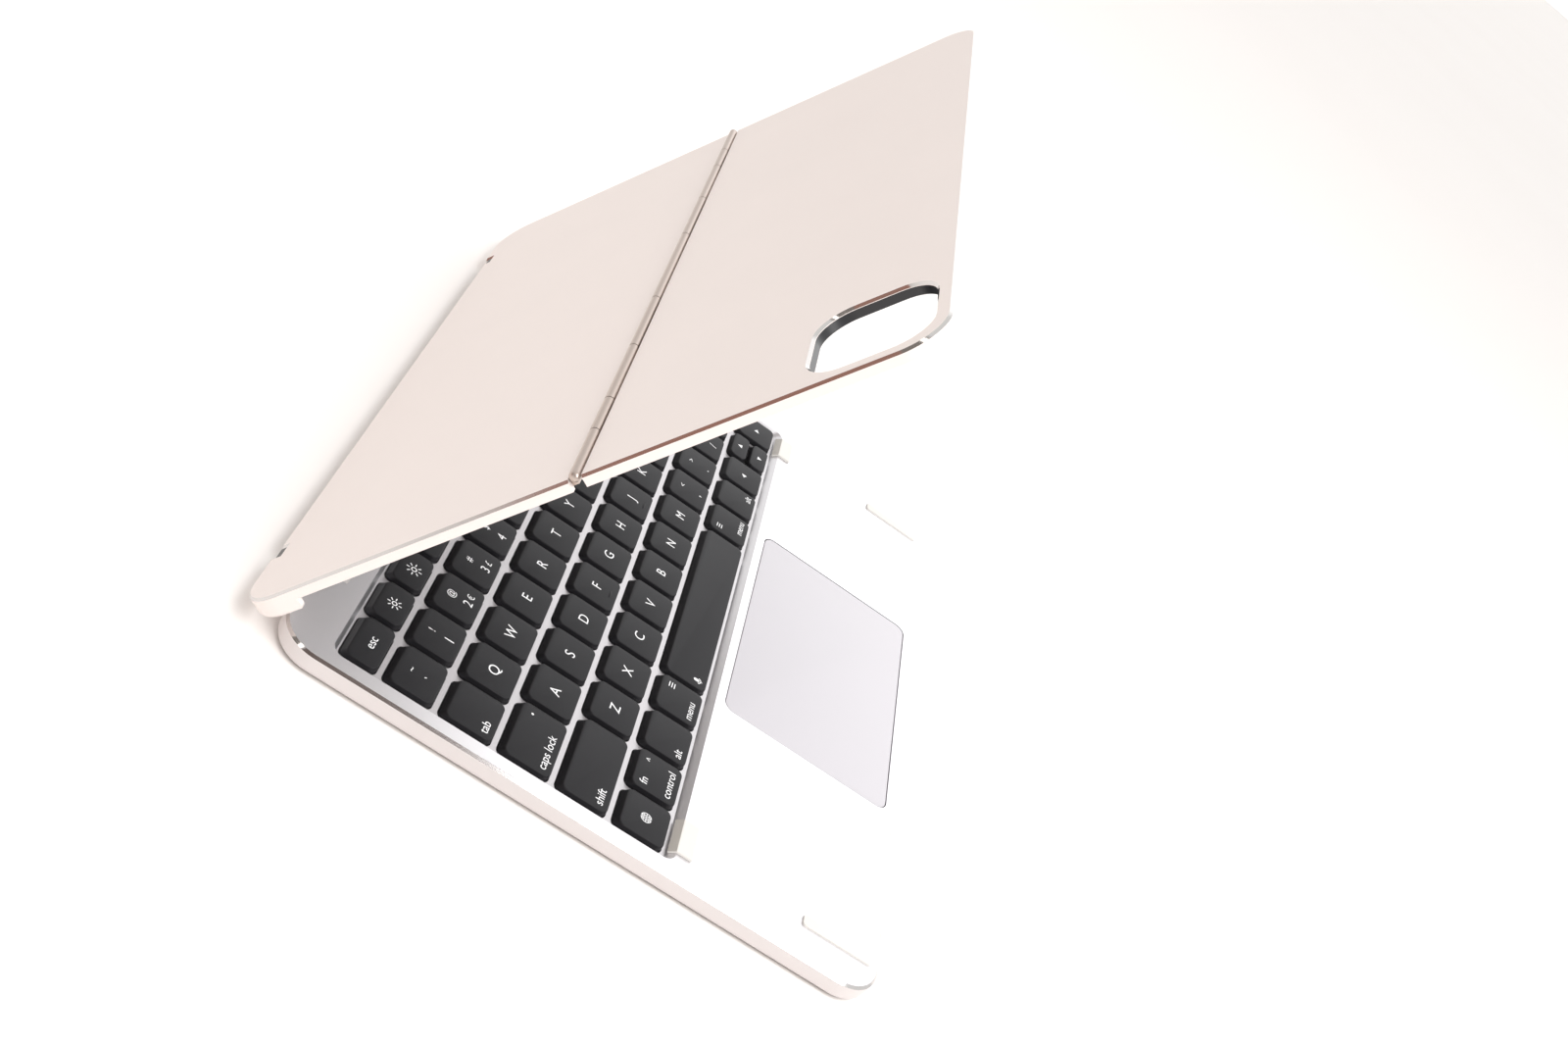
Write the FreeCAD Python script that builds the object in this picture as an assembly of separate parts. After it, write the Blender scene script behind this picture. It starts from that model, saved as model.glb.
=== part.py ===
import FreeCAD, Part
import math
import os

# Tablet keyboard with a hinged lid in two leaves.
# Millimetres, X to the right, Y to the rear, Z up. The origin is the bottom centre of the part's box
# as it stands open, on the plane of the rubber feet.

# Base case
base_width = 251.0
base_depth = 185.0
case_height = 6.3
foot_height = 0.8
corner_radius = 12.0
shell_wall = 1.6
shell_floor = 0.8
bottom_edge_radius = 1.6
edge_chamfer = 0.7
deck_thickness = 1.2
face_gap = 0.05
overshoot = 1.0

# Main hinge
hinge_inset = 2.9
hinge_drop = 1.4
barrel_radius = 4.9
barrel_half_length = 93.7
housing_length = 33.7
notch_gap = 0.6
notch_lip = 0.8
hinge_side_gap = 0.3
tongue_size = (28.0, 1.6)
hinge_screw_reach = 8.0
shaft_radius = 2.0
shaft_seat = 17.0
running_gap = 0.05
clip_thickness = 1.2
clip_width = 1.0
clip_gap = 0.2
clip_start = 11.0
clip_count = 4
spine_setback = 1.6
spine_screw_inset = 9.7
spine_screw_step = 42.0
spine_screw_setback = 7.0
rest_angle = 61.9

# Lid
axis_depth = 11.7
lid_past_axis = 5.2
corner_past_axis = 6.1
skin_thickness = 2.3
lid_thickness = 3.1
lining_thickness = 0.7
rim_width = 1.6
lobe_thickness = 6.4
lobe_length = 17.1
lobe_round = 1.8
lobe_tip = 1.8
lobe_hollow = 5.5
lid_chamfer = 0.65
tail_cover = 2.3
slot_depth = 2.1
slot_width = 5.1
neck_width = 7.0

# Middle hinge
mid_reach = 90.4
mid_radius = 1.45
mid_depth = 0.2
mid_lower_gap = 0.15
mid_upper_gap = 0.5
mid_seams = (24.1, 55.6, 86.4, 103.0)
mid_end_gap = 0.1
mid_side_gap = 0.3
mid_pin_radius = 0.6
leaf_thickness = 1.2
leaf_length = 5.0

# Camera opening in the upper leaf
camera_width = 31.7
camera_length = 30.3
camera_radius = 9.5
camera_side_edge = 4.5
camera_top_edge = 4.25
rim_ring_wall = 0.8
rim_ring_depth = 0.8

# Keyboard
key_pitch = 17.75
key_gap = 2.02
row_side = 7.375
key_corner = 2.0
cap_height = 1.8
cap_top = 1.0
cap_wall = 1.0
rear_slope = 1.5
side_slope = 0.15
half_key_gap = 1.0
key_travel = 1.0
key_clearance = 0.3
home_bar = (3.2, 0.5, 0.12)
home_bar_front = 2.0
home_fingers = (4, 7)
hook_size = (1.6, 0.8)
hook_reach = 3.2
long_key = 53.0

# Keys that are wider or narrower than a letter key
esc_width = 17.2
tilde_width = 16.0
symbol_width = 8.9
tab_width = 15.7
bracket_width = 9.9
caps_width = 22.0
quote_width = 11.0
shift_width = 30.0
fn_width = 14.7
modifier_width = 15.3
space_width = 80.9

# Key rows: distance of each row's front edge from the base's rear edge, and the row's depth
function_front = 26.8
function_depth = 10.5
number_front = 43.2
number_depth = 14.3
letter_depth = 15.5

# Key well
well_side_gap = 1.1
well_rear_gap = 0.7
well_front_gap = 1.5
well_depth = 2.0
slope_side = 1.0
slope_rear = 1.3
slope_front = 2.4
well_corner = 2.5
frame_thickness = 0.8
frame_lap = 2.5
frame_inset = 0.2

# Sheets under the keys
plate_thickness = 0.4
sheet_thickness = 0.2
dome_radius = 2.6
dome_taper = 0.6
link_width = 10.5
link_depth = 8.0
link_band = 0.9
link_thickness = 0.5
link_play = 0.2

# Trackpad
pad_width = 98.3
pad_depth = 60.1
pad_front = 3.6
pad_corner = 3.5
pad_glass = 1.0
pad_recess = 0.05
pad_gap = 0.3
pad_travel = 0.25
bracket_thickness = 0.8
bracket_lap = 4.0
bracket_window = (60.0, 30.0)
switch_size = (4.0, 3.0, 0.3)

# Battery, board, socket and power slider
centre_cell = (90.0, 52.0, 2.3)
side_cell = (46.0, 42.0, 2.8)
cell_margin = 1.0
cell_corner = 1.0
board_size = (44.0, 34.0, 0.6)
board_film = 0.1
chip_size = (8.0, 8.0, 1.0)
chip_places = (0.25, 0.6)
socket_width = 9.2
socket_height = 3.4
socket_length = 7.4
socket_wall = 0.3
socket_tongue = (6.4, 6.8, 0.7)
socket_from_front = 42.0
cable_thickness = 0.2
cable_width = 4.0
cable_lap = 8.0
slider_from_front = 60.0
slider_length = 4.0
slider_height = 1.6
slider_grip = 1.0
slider_travel = 2.5
slider_clearance = 0.3
switch_body = (3.2, 9.0, 3.4)

# Feet, pads, bumpers and screws
foot_size = (26.0, 7.0)
foot_inset = 14.0
foot_pocket = 0.3
palm_pad = (4.0, 23.2, 0.6)
palm_pad_corner = 1.0
palm_pad_side = 11.4
palm_pad_front = 3.0
bumper_width = 13.0
bumper_from_well = 2.6
bumper_depth = 4.6
bumper_height = 0.8
screw_radius = 0.8
head_radius = 1.9
head_height = 0.4
boss_radius = 2.0
screw_from_side = 9.5
magnet_size = (12.0, 5.0)
magnet_thickness = 0.7
magnet_from_side = 48.0
lower_magnet_columns = 3
upper_magnet_columns = 7
lower_magnet_row = 17.75
upper_magnet_row = 26.6

# Places worked out from the sizes above
half_width = base_width / 2
tilt = math.radians(rest_angle)
rear_overhang = (corner_past_axis - lid_chamfer) * math.cos(tilt) + axis_depth * math.sin(tilt) - hinge_inset
base_front = -(base_depth + rear_overhang) / 2
base_rear = base_front + base_depth
case_bottom = foot_height
deck_top = case_bottom + case_height
deck_under = deck_top - deck_thickness
floor_top = case_bottom + shell_floor
axis_y = base_rear - hinge_inset
axis_z = deck_top - hinge_drop
lid_top = axis_z + axis_depth
lid_front = base_front
lid_rear = axis_y + corner_past_axis
mid_y = axis_y - mid_reach
mid_z = lid_top - mid_depth
lower_end = mid_y + mid_radius + mid_lower_gap
upper_end = mid_y - mid_radius - mid_upper_gap
row_left = row_side - half_width
row_total = -2 * row_left
web_top = deck_top - well_depth
web_under = web_top - frame_thickness
cap_bottom = deck_top - cap_height
cap_width = key_pitch - key_gap
housing_middle = barrel_half_length - housing_length / 2
axis_point = FreeCAD.Vector(0, axis_y, axis_z)
along_x = FreeCAD.Vector(1, 0, 0)

nodes = {}


def box(x0, x1, y0, y1, z0, z1):
    corner = FreeCAD.Vector(x0, y0, z0)
    return Part.makeBox(x1 - x0, y1 - y0, z1 - z0, corner)


def outline(x0, x1, y0, y1, z, front, rear):
    # A flat rectangle with one corner radius in front and one behind; no radius means a square corner.
    turns = ((x0, y0, 180, front), (x1, y0, 270, front), (x1, y1, 0, rear), (x0, y1, 90, rear))
    edges = []
    ends = []
    for x, y, start, radius in turns:
        if radius == 0:
            ends.append((FreeCAD.Vector(x, y, z), FreeCAD.Vector(x, y, z)))
            continue
        cx = x + radius if x == x0 else x - radius
        cy = y + radius if y == y0 else y - radius
        points = []
        for step in (0, 45, 90):
            a = math.radians(start + step)
            points.append(FreeCAD.Vector(cx + radius * math.cos(a), cy + radius * math.sin(a), z))
        edges.append(Part.Arc(*points).toShape())
        ends.append((points[0], points[2]))
    for here, following in zip(ends, ends[1:] + ends[:1]):
        edges.append(Part.makeLine(here[1], following[0]))
    return Part.Wire(Part.__sortEdges__(edges))


def slab(x0, x1, y0, y1, z0, z1, front=0.0, rear=None):
    behind = front if rear is None else rear
    face = Part.Face(outline(x0, x1, y0, y1, z0, front, behind))
    return face.extrude(FreeCAD.Vector(0, 0, z1 - z0))


def frustum(low, high, z0, z1, low_radius, high_radius):
    # A rounded block whose sides lean from one outline to another.
    bottom = outline(*low, z0, low_radius, low_radius)
    top = outline(*high, z1, high_radius, high_radius)
    return Part.makeLoft([bottom, top], True, True)


def rod(radius, x0, x1, y, z):
    start = FreeCAD.Vector(x0, y, z)
    return Part.makeCylinder(radius, x1 - x0, start, along_x)


def post(radius, x, y, z0, z1):
    return Part.makeCylinder(radius, z1 - z0, FreeCAD.Vector(x, y, z0))


def level_edges(shape, z):
    found = []
    for edge in shape.Edges:
        if all(abs(v.Z - z) < 1e-6 for v in edge.Vertexes):
            found.append(edge)
    return found


def opened(shape):
    # The lid is drawn shut and turned back about the main hinge to the angle that it stands open at.
    turned = shape.copy()
    turned.rotate(axis_point, along_x, -rest_angle)
    return turned


def mirrored(shape):
    return shape.mirror(FreeCAD.Vector(0, 0, 0), along_x)


def both(shape):
    return [shape, mirrored(shape)]


def add(name, solids):
    group = solids if isinstance(solids, list) else [solids]
    nodes[name] = Part.makeCompound([s for shape in group for s in shape.Solids])


# Rows of keys
def row_front(row):
    return base_rear - number_front - row * key_pitch


def lay_row(items, front, depth):
    # Each key is (node, width); the last key of a row runs to the row's right end.
    places = []
    left = row_left
    for index, (node, width) in enumerate(items):
        right = row_left + row_total if index == len(items) - 1 else left + width
        places.append((node, left, right, front, front + depth))
        left = right + key_gap
    return places


def key_places():
    small = (row_total - esc_width - 13 * key_gap) / 13
    number_row = [tilde_width] + [cap_width] * 10 + [symbol_width] * 2
    top_row = [cap_width] * 10 + [bracket_width] * 3
    home_row = [cap_width] * 9 + [quote_width] * 2
    rows = [
        ([("esc_key", esc_width)] + [("function_keys", small)] * 12 + [("lock_key", small)], None),
        ([("number_keys", width) for width in number_row] + [("delete_key", tab_width)], 0),
        ([("tab_key", tab_width)] + [("top_letter_keys", width) for width in top_row], 1),
        ([("caps_lock_key", caps_width)] + [("home_letter_keys", width) for width in home_row]
         + [("return_key", caps_width)], 2),
        ([("left_shift_key", shift_width)] + [("bottom_letter_keys", cap_width)] * 10
         + [("right_shift_key", shift_width)], 3),
        ([("fn_key", fn_width), ("control_key", modifier_width), ("left_alt_key", cap_width),
          ("left_system_key", modifier_width), ("space_key", space_width),
          ("right_system_key", modifier_width), ("right_alt_key", modifier_width),
          ("left_arrow_key", modifier_width), ("up_down", modifier_width),
          ("right_arrow_key", modifier_width)], 4),
    ]
    places = []
    for items, row in rows:
        if row is None:
            places += lay_row(items, base_rear - function_front, function_depth)
        elif row == 0:
            places += lay_row(items, row_front(row), number_depth)
        else:
            places += lay_row(items, row_front(row), letter_depth)
    return places


def split_arrows(places):
    # The up and down keys share one opening, each taking half of its depth.
    parts = []
    for node, x0, x1, y0, y1 in places:
        if node != "up_down":
            parts.append((node, x0, x1, y0, y1))
            continue
        half = (y1 - y0 - half_key_gap) / 2
        parts.append(("down_arrow_key", x0, x1, y0, y0 + half))
        parts.append(("up_arrow_key", x0, x1, y1 - half, y1))
    return parts


def keycap(x0, x1, y0, y1):
    # A shallow cup with upright sides, a leaning rear face and two hooks for its scissor links.
    slope = rear_slope if y1 - y0 > letter_depth / 2 + rear_slope else rear_slope / 2
    low = (x0, x1, y0, y1)
    high = (x0 + side_slope, x1 - side_slope, y0 + side_slope, y1 - slope)
    cap = frustum(low, high, cap_bottom, deck_top, key_corner, key_corner - side_slope)
    under = deck_top - cap_top
    hollow = box(x0 + cap_wall, x1 - cap_wall, y0 + cap_wall, y1 - slope - cap_wall, cap_bottom, under)
    cap = cap.cut(hollow)
    cx = (x0 + x1) / 2
    cy = (y0 + y1 - slope) / 2
    for side in (-1, 1):
        hx = cx + side * hook_reach
        hook = box(hx - hook_size[0] / 2, hx + hook_size[0] / 2,
                   cy - hook_size[1] / 2, cy + hook_size[1] / 2, cap_bottom, under)
        cap = cap.fuse(hook)
    return cap


def make_keys(places):
    groups = {}
    home = []
    for node, x0, x1, y0, y1 in places:
        cap = keycap(x0, x1, y0, y1)
        if node == "home_letter_keys":
            home.append((x0, x1, y0))
            if len(home) in home_fingers:
                # The raised bars on the keys under the two first fingers
                length, breadth, height = home_bar
                cx = (x0 + x1) / 2
                y = y0 + home_bar_front
                cap = cap.fuse(box(cx - length / 2, cx + length / 2, y, y + breadth, deck_top - breadth,
                                   deck_top + height))
        groups.setdefault(node, []).append(cap)
    for node, caps in groups.items():
        add(node, caps)


# Bottom shell, deck and the frame between the keys
def well_low():
    left = row_left - well_side_gap
    rear = base_rear - function_front + function_depth + well_rear_gap
    front = row_front(4) - well_front_gap
    return left, -left, front, rear


def well_high():
    x0, x1, y0, y1 = well_low()
    return x0 - slope_side, x1 + slope_side, y0 - slope_front, y1 + slope_rear


def notch(extra):
    # The bay in the rear edge that the hinge barrel turns in.
    half = barrel_half_length + notch_gap + extra
    front = axis_y - barrel_radius - notch_gap - extra
    return box(-half, half, front, base_rear + barrel_radius, case_bottom - overshoot,
               deck_top + overshoot)


def screw_spots():
    side = half_width - screw_from_side
    pad_rear = base_front + pad_front + pad_depth
    near = base_front + screw_from_side
    rear = base_rear - screw_from_side + 2 * shell_wall
    inner = pad_width / 2 + screw_from_side
    spots = [(side, near), (side, pad_rear - boss_radius), (side, rear), (inner, near)]
    return spots + [(-x, y) for x, y in spots]


def socket_box(extra):
    y = base_front + socket_from_front
    x1 = half_width - face_gap
    z = floor_top + board_film + board_size[2]
    half = socket_width / 2 + extra
    return (x1 - socket_length, x1 + extra, y - half, y + half, z - extra, z + socket_height + extra)


def slider_box(extra):
    y = base_front + slider_from_front
    z = (case_bottom + deck_under) / 2
    top = z + slider_height / 2 + extra
    end = y + slider_length + extra
    if extra > 0:
        end += slider_travel
    x0 = half_width - shell_wall - extra
    x1 = half_width - edge_chamfer / 2
    return (x0, x1 + extra, y - extra, end, z - slider_height / 2 - extra, top)


def foot_spots():
    side = half_width - foot_inset - foot_size[0]
    near = base_front + foot_inset
    far = base_rear - foot_inset - foot_size[1] - barrel_radius
    return [(side, near), (side, far)]


def make_bottom_shell():
    half = half_width
    body = slab(-half, half, base_front, base_rear, case_bottom, deck_top, corner_radius)
    body = body.makeFillet(bottom_edge_radius, level_edges(body, case_bottom))
    body = body.makeChamfer(edge_chamfer, level_edges(body, deck_top))
    body = body.cut(notch(0))
    inner = half - shell_wall
    cavity = slab(-inner, inner, base_front + shell_wall, base_rear - shell_wall, floor_top, deck_top,
                  corner_radius - shell_wall)
    body = body.cut(cavity.cut(notch(shell_wall)))
    body = body.cut(deck_blank(0.0))
    for x, y in screw_spots():
        body = body.cut(post(head_radius + face_gap, x, y, case_bottom, case_bottom + head_height))
        body = body.cut(post(screw_radius + face_gap, x, y, case_bottom, floor_top))
    for x, y in foot_spots():
        pocket = slab(x, x + foot_size[0], y, y + foot_size[1], case_bottom, case_bottom + foot_pocket,
                      foot_size[1] / 2 - face_gap)
        for copy in both(pocket):
            body = body.cut(copy)
    body = body.cut(box(*socket_box(face_gap)))
    body = body.cut(box(*slider_box(slider_clearance)))
    for tongue in both(housing_tongue(face_gap)):
        body = body.cut(tongue)
    add("bottom_shell", body)


def deck_blank(gap):
    inset = edge_chamfer + face_gap + gap
    half = half_width - inset
    blank = slab(-half, half, base_front + inset, base_rear - inset, deck_under, deck_top,
                 corner_radius - inset)
    return blank.cut(notch(notch_lip + gap))


def trackpad_area(extra, z0, z1):
    half = pad_width / 2 + extra
    front = base_front + pad_front
    return slab(-half, half, front - extra, front + pad_depth + extra, z0, z1, pad_corner + extra)


def make_deck_plate():
    x0, x1, y0, y1 = well_low()
    plate = deck_blank(face_gap)
    rim = slab(x0 - frame_lap, x1 + frame_lap, y0 - frame_lap, y1 + frame_lap, web_top, deck_under,
               well_corner + frame_lap)
    plate = plate.fuse(rim)
    plate = plate.cut(frustum(well_low(), well_high(), web_top, deck_top, well_corner,
                              well_corner + slope_side))
    plate = plate.cut(trackpad_area(pad_gap, deck_under, deck_top))
    for x, y in screw_spots():
        boss = post(boss_radius, x, y, floor_top + face_gap, deck_under)
        plate = plate.fuse(boss)
        plate = plate.cut(post(screw_radius + face_gap, x, y, floor_top, deck_under - head_height / 2))
    add("deck_plate", plate.removeSplitter())


def make_key_frame(cells):
    x0, x1, y0, y1 = well_low()
    lap = frame_lap - frame_inset
    frame = slab(x0 - lap, x1 + lap, y0 - lap, y1 + lap, web_under, web_top, well_corner + lap)
    holes = []
    for node, a, b, c, d in cells:
        holes.append(slab(a - key_clearance, b + key_clearance, c - key_clearance, d + key_clearance,
                          web_under, web_top, key_corner + key_clearance))
    add("key_frame", frame.cut(Part.makeCompound(holes)))


# Sheets, domes and scissor links under the keys
def module_area(z0, z1):
    x0, x1, y0, y1 = well_low()
    return slab(x0, x1, y0, y1, z0, z1, well_corner)


def mechanism_spots(places):
    spots = []
    for node, x0, x1, y0, y1 in places:
        cx = (x0 + x1) / 2
        cy = (y0 + y1) / 2
        width = min(link_width, x1 - x0 - 2 * cap_wall)
        depth = min(link_depth, y1 - y0 - 2 * cap_wall - link_play)
        offsets = (-(x1 - x0) / 3, 0, (x1 - x0) / 3) if x1 - x0 > long_key else (0,)
        spots += [(cx + shift, cy, width, depth) for shift in offsets]
    return spots


def make_sheets(places):
    plate_top = floor_top + plate_thickness
    membrane_top = plate_top + sheet_thickness
    domes_base = membrane_top + sheet_thickness
    add("backing_plate", module_area(floor_top, plate_top))
    add("membrane_sheet", module_area(plate_top, membrane_top))
    dome_layer = module_area(membrane_top, domes_base)
    domes = []
    links = []
    # A dome stops just short of where the underside of its pressed key comes to.
    dome_height = deck_top - cap_top - key_travel - face_gap - domes_base
    for cx, cy, width, depth in mechanism_spots(places):
        room = min(width / 2 - link_band - link_play, depth / 2)
        radius = min(dome_radius, room - link_band - link_play)
        foot = FreeCAD.Vector(cx, cy, domes_base)
        domes.append(Part.makeCone(radius, radius * dome_taper, dome_height, foot))
        links += link_pair(cx, cy, width, depth, domes_base + face_gap)
    add("dome_sheet", dome_layer.fuse(domes))
    add("scissor_links", links)


def link_pair(cx, cy, width, depth, z):
    # An outer frame and an inner one lying in it, both folded flat under the key.
    pair = []
    for shrink in (0.0, link_band + link_play):
        w = width / 2 - shrink
        d = depth / 2
        ring = box(cx - w, cx + w, cy - d, cy + d, z, z + link_thickness)
        inner = box(cx - w + link_band, cx + w - link_band, cy - d + link_band, cy + d - link_band,
                    z, z + link_thickness)
        if shrink:
            ring.translate(FreeCAD.Vector(0, 0, link_thickness + face_gap))
            inner.translate(FreeCAD.Vector(0, 0, link_thickness + face_gap))
        pair.append(ring.cut(inner))
    return pair


# Trackpad
def make_trackpad():
    top = deck_top - pad_recess
    glass_under = top - pad_glass
    add("trackpad_glass", trackpad_area(0.0, glass_under, top))
    length, breadth, height = switch_size
    tray_top = glass_under - pad_travel - face_gap - height
    tray_under = tray_top - bracket_thickness
    half = pad_width / 2 + bracket_lap
    front = base_front + shell_wall + face_gap
    middle = base_front + pad_front + pad_depth / 2
    rear = middle + pad_depth / 2 + bracket_lap / 2
    tray = box(-half, half, front, rear, tray_under, deck_under)
    tray = tray.cut(trackpad_area(pad_gap, tray_top, deck_under))
    wide, deep = bracket_window
    tray = tray.cut(slab(-wide / 2, wide / 2, middle - deep / 2, middle + deep / 2, tray_under, tray_top,
                         pad_corner))
    add("trackpad_bracket", tray)
    y = base_front + pad_front + length
    add("trackpad_switch", box(-length / 2, length / 2, y - breadth / 2, y + breadth / 2, tray_top,
                               tray_top + height))


# Power and electronics in the palm rest
def cells_rear():
    return base_front + pad_front + (pad_depth + centre_cell[1]) / 2


def side_cell_right():
    return -(pad_width / 2 + bracket_lap + cell_margin)


def make_battery():
    rear = cells_rear()
    width, depth, height = centre_cell
    centre = slab(-width / 2, width / 2, rear - depth, rear, floor_top, floor_top + height, cell_corner)
    width, depth, height = side_cell
    right = side_cell_right()
    side = slab(right - width, right, rear - depth, rear, floor_top, floor_top + height, cell_corner)
    add("battery_cells", [centre, side])


def make_board():
    x0, x1, y0, y1, z0, z1 = socket_box(0.0)
    rear = cells_rear()
    width, depth, thickness = board_size
    left = x0 - width
    board = box(left, x0 - cell_margin, rear - depth, rear, z0 - thickness, z0)
    arm = box(left, x1 - shell_wall - face_gap, y0, y1, z0 - thickness, z0)
    chips = []
    for share in chip_places:
        cx = left + width * share
        cy = rear - depth / 2
        length, breadth, height = chip_size
        chips.append(box(cx - length / 2, cx + length / 2, cy - breadth / 2, cy + breadth / 2, z0,
                         z0 + height))
    add("main_board", [board.fuse(arm)] + chips)
    make_cable(left)


def make_cable(board_left):
    # One flat lead runs behind the cells to the board, and its branch meets the sheets under the keys.
    front = cells_rear() + face_gap
    top = floor_top + cable_thickness
    lead = box(side_cell_right() - cable_lap, board_left + cable_lap, front, front + cable_width,
               floor_top, top)
    branch = box(board_left, board_left + cable_lap, front, well_low()[2] - face_gap, floor_top, top)
    add("flat_cable", lead.fuse(branch))


def make_charging_socket():
    x0, x1, y0, y1, z0, z1 = socket_box(0.0)
    wall = socket_wall
    shell = box(x0, x1, y0, y1, z0, z1)
    mouth = box(x0 + wall, x1, y0 + wall, y1 - wall, z0 + wall, z1 - wall)
    length, width, height = socket_tongue
    y = (y0 + y1) / 2
    z = (z0 + z1) / 2
    tongue = box(x0, x0 + length, y - width / 2, y + width / 2, z - height / 2, z + height / 2)
    add("charging_socket", shell.cut(mouth).fuse(tongue))


def make_power_slider():
    x0, x1, y0, y1, z0, z1 = slider_box(0.0)
    add("power_slider", box(x0 - slider_grip, x1, y0, y1, z0, z1))
    length, breadth, height = switch_body
    right = x0 - slider_grip - slider_clearance
    middle = (y0 + y1 + slider_travel) / 2
    add("slider_switch", box(right - length, right, middle - breadth / 2, middle + breadth / 2, floor_top,
                             floor_top + height))


# Feet, pads, bumpers and screws
def make_rubber():
    feet = []
    for x, y in foot_spots():
        foot = slab(x, x + foot_size[0], y, y + foot_size[1], 0, case_bottom + foot_pocket,
                    foot_size[1] / 2 - face_gap)
        feet += both(foot)
    add("rubber_feet", feet)
    width, length, height = palm_pad
    x = half_width - palm_pad_side
    y = base_front + palm_pad_front
    pad = slab(x - width, x, y, y + length, deck_top, deck_top + height, palm_pad_corner)
    add("palm_pads", both(pad))
    add("corner_bumpers", both(bumper()))


def bumper():
    # A block that lies over the front edge of the key well and follows its slope down.
    y_top = well_high()[2]
    y_low = well_low()[2]
    z_top = deck_top + bumper_height
    z_low = web_top + bumper_height / 2
    lean = math.atan2(well_depth, slope_front)
    y_toe = y_low - (z_low - web_top) / math.tan(lean)
    section = [
        (y_top - bumper_depth, deck_top),
        (y_top - bumper_depth, z_top),
        (y_top + bumper_height * math.tan(lean / 2), z_top),
        (y_toe + bumper_height * math.sin(lean), z_low + bumper_height * math.cos(lean)),
        (y_toe, z_low),
        (y_top, deck_top),
    ]
    x = well_low()[1] - bumper_from_well
    points = [FreeCAD.Vector(x, y, z) for y, z in section]
    face = Part.Face(Part.makePolygon(points + points[:1]))
    return face.extrude(FreeCAD.Vector(-bumper_width, 0, 0))


def make_case_screws():
    screws = []
    for x, y in screw_spots():
        head = post(head_radius, x, y, case_bottom, case_bottom + head_height - face_gap)
        shank = post(screw_radius, x, y, case_bottom, deck_under - head_height)
        screws.append(head.fuse(shank))
    add("case_screws", screws)


# Main hinge
def housing_tongue(extra):
    half = tongue_size[0] / 2 + extra
    front = axis_y - barrel_radius - notch_gap - shell_wall - 2 * head_radius
    top = floor_top + tongue_size[1]
    return box(housing_middle - half, housing_middle + half, front - extra, axis_y, floor_top, top + extra)


def make_housings():
    inner = barrel_half_length - housing_length
    bore = shaft_radius + clip_width + running_gap
    housing = rod(barrel_radius, inner, barrel_half_length, axis_y, axis_z).fuse(housing_tongue(0.0))
    housing = housing.cut(rod(bore, inner, barrel_half_length - shell_wall, axis_y, axis_z))
    y = axis_y - barrel_radius - notch_gap - shell_wall - head_radius
    top = floor_top + tongue_size[1]
    screws = []
    for x in (housing_middle - hinge_screw_reach, housing_middle + hinge_screw_reach):
        housing = housing.cut(post(screw_radius + face_gap, x, y, floor_top, top))
        head = post(head_radius, x, y, top, top + head_height)
        screws += both(head.fuse(post(screw_radius, x, y, floor_top + face_gap, top)))
    add("hinge_housings", both(housing))
    add("hinge_screws", screws)


def make_friction_clips():
    clips = []
    for index in range(clip_count):
        x0 = barrel_half_length - housing_length + clip_start + index * (clip_thickness + clip_gap)
        x1 = x0 + clip_thickness
        ring = rod(shaft_radius + clip_width, x0, x1, axis_y, axis_z)
        ring = ring.cut(rod(shaft_radius + running_gap, x0, x1, axis_y, axis_z))
        slit = box(x0, x1, axis_y - barrel_radius, axis_y, axis_z - clip_width / 2, axis_z + clip_width / 2)
        clips += both(ring.cut(slit))
    add("friction_clips", clips)


def make_lid_spine():
    half = barrel_half_length + notch_gap - hinge_side_gap
    y0 = lid_rear - lobe_length + spine_setback
    y1 = axis_y + lid_past_axis - hinge_side_gap
    under = lid_top - lobe_thickness
    bar = box(-half, half, y0, y1, under, lid_top - skin_thickness)
    bar = bar.makeFillet(lobe_round, long_edges(bar, under))
    inner = barrel_half_length - housing_length - hinge_side_gap
    barrel = rod(barrel_radius, -inner, inner, axis_y, axis_z)
    neck = box(-inner, inner, axis_y - neck_width / 2, axis_y + neck_width / 2, axis_z, under + lobe_round)
    spine = bar.fuse([barrel, neck])
    for socket in both(rod(shaft_radius + running_gap, inner - shaft_seat, inner, axis_y, axis_z)):
        spine = spine.cut(socket)
    screws = []
    outer = barrel_half_length - spine_screw_inset
    for x in (-outer, spine_screw_step - outer, outer - spine_screw_step, outer):
        y = axis_y - spine_screw_setback
        spine = spine.cut(post(screw_radius + face_gap, x, y, under, lid_top - skin_thickness))
        spine = spine.cut(post(head_radius + face_gap, x, y, under, under + head_height))
        head = post(head_radius, x, y, under + face_gap, under + head_height)
        shank = post(screw_radius, x, y, under + head_height, lid_top - skin_thickness - face_gap)
        screws.append(opened(head.fuse(shank)))
    add("lid_spine", opened(spine))
    add("spine_screws", screws)
    shaft = rod(shaft_radius, inner - shaft_seat + face_gap, barrel_half_length - shell_wall - hinge_side_gap,
                axis_y, axis_z)
    add("hinge_shafts", [opened(copy) for copy in both(shaft)])


def long_edges(shape, z):
    return [edge for edge in level_edges(shape, z)
            if abs(edge.Vertexes[0].X - edge.Vertexes[-1].X) > overshoot]


# Lid leaves
def chamfered(plate, hinge_end):
    # All edges of the outer face are chamfered but the one beside the middle hinge.
    edges = [edge for edge in level_edges(plate, lid_top)
             if any(abs(vertex.Y - hinge_end) > face_gap for vertex in edge.Vertexes)]
    return plate.makeChamfer(lid_chamfer, edges)


def magnet_spots(y0, y1, columns):
    spots = []
    reach = half_width - magnet_from_side
    for index in range(columns):
        x = -reach + index * 2 * reach / (columns - 1)
        for y in (y0, y1):
            spots.append((x, y))
    return spots


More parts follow.
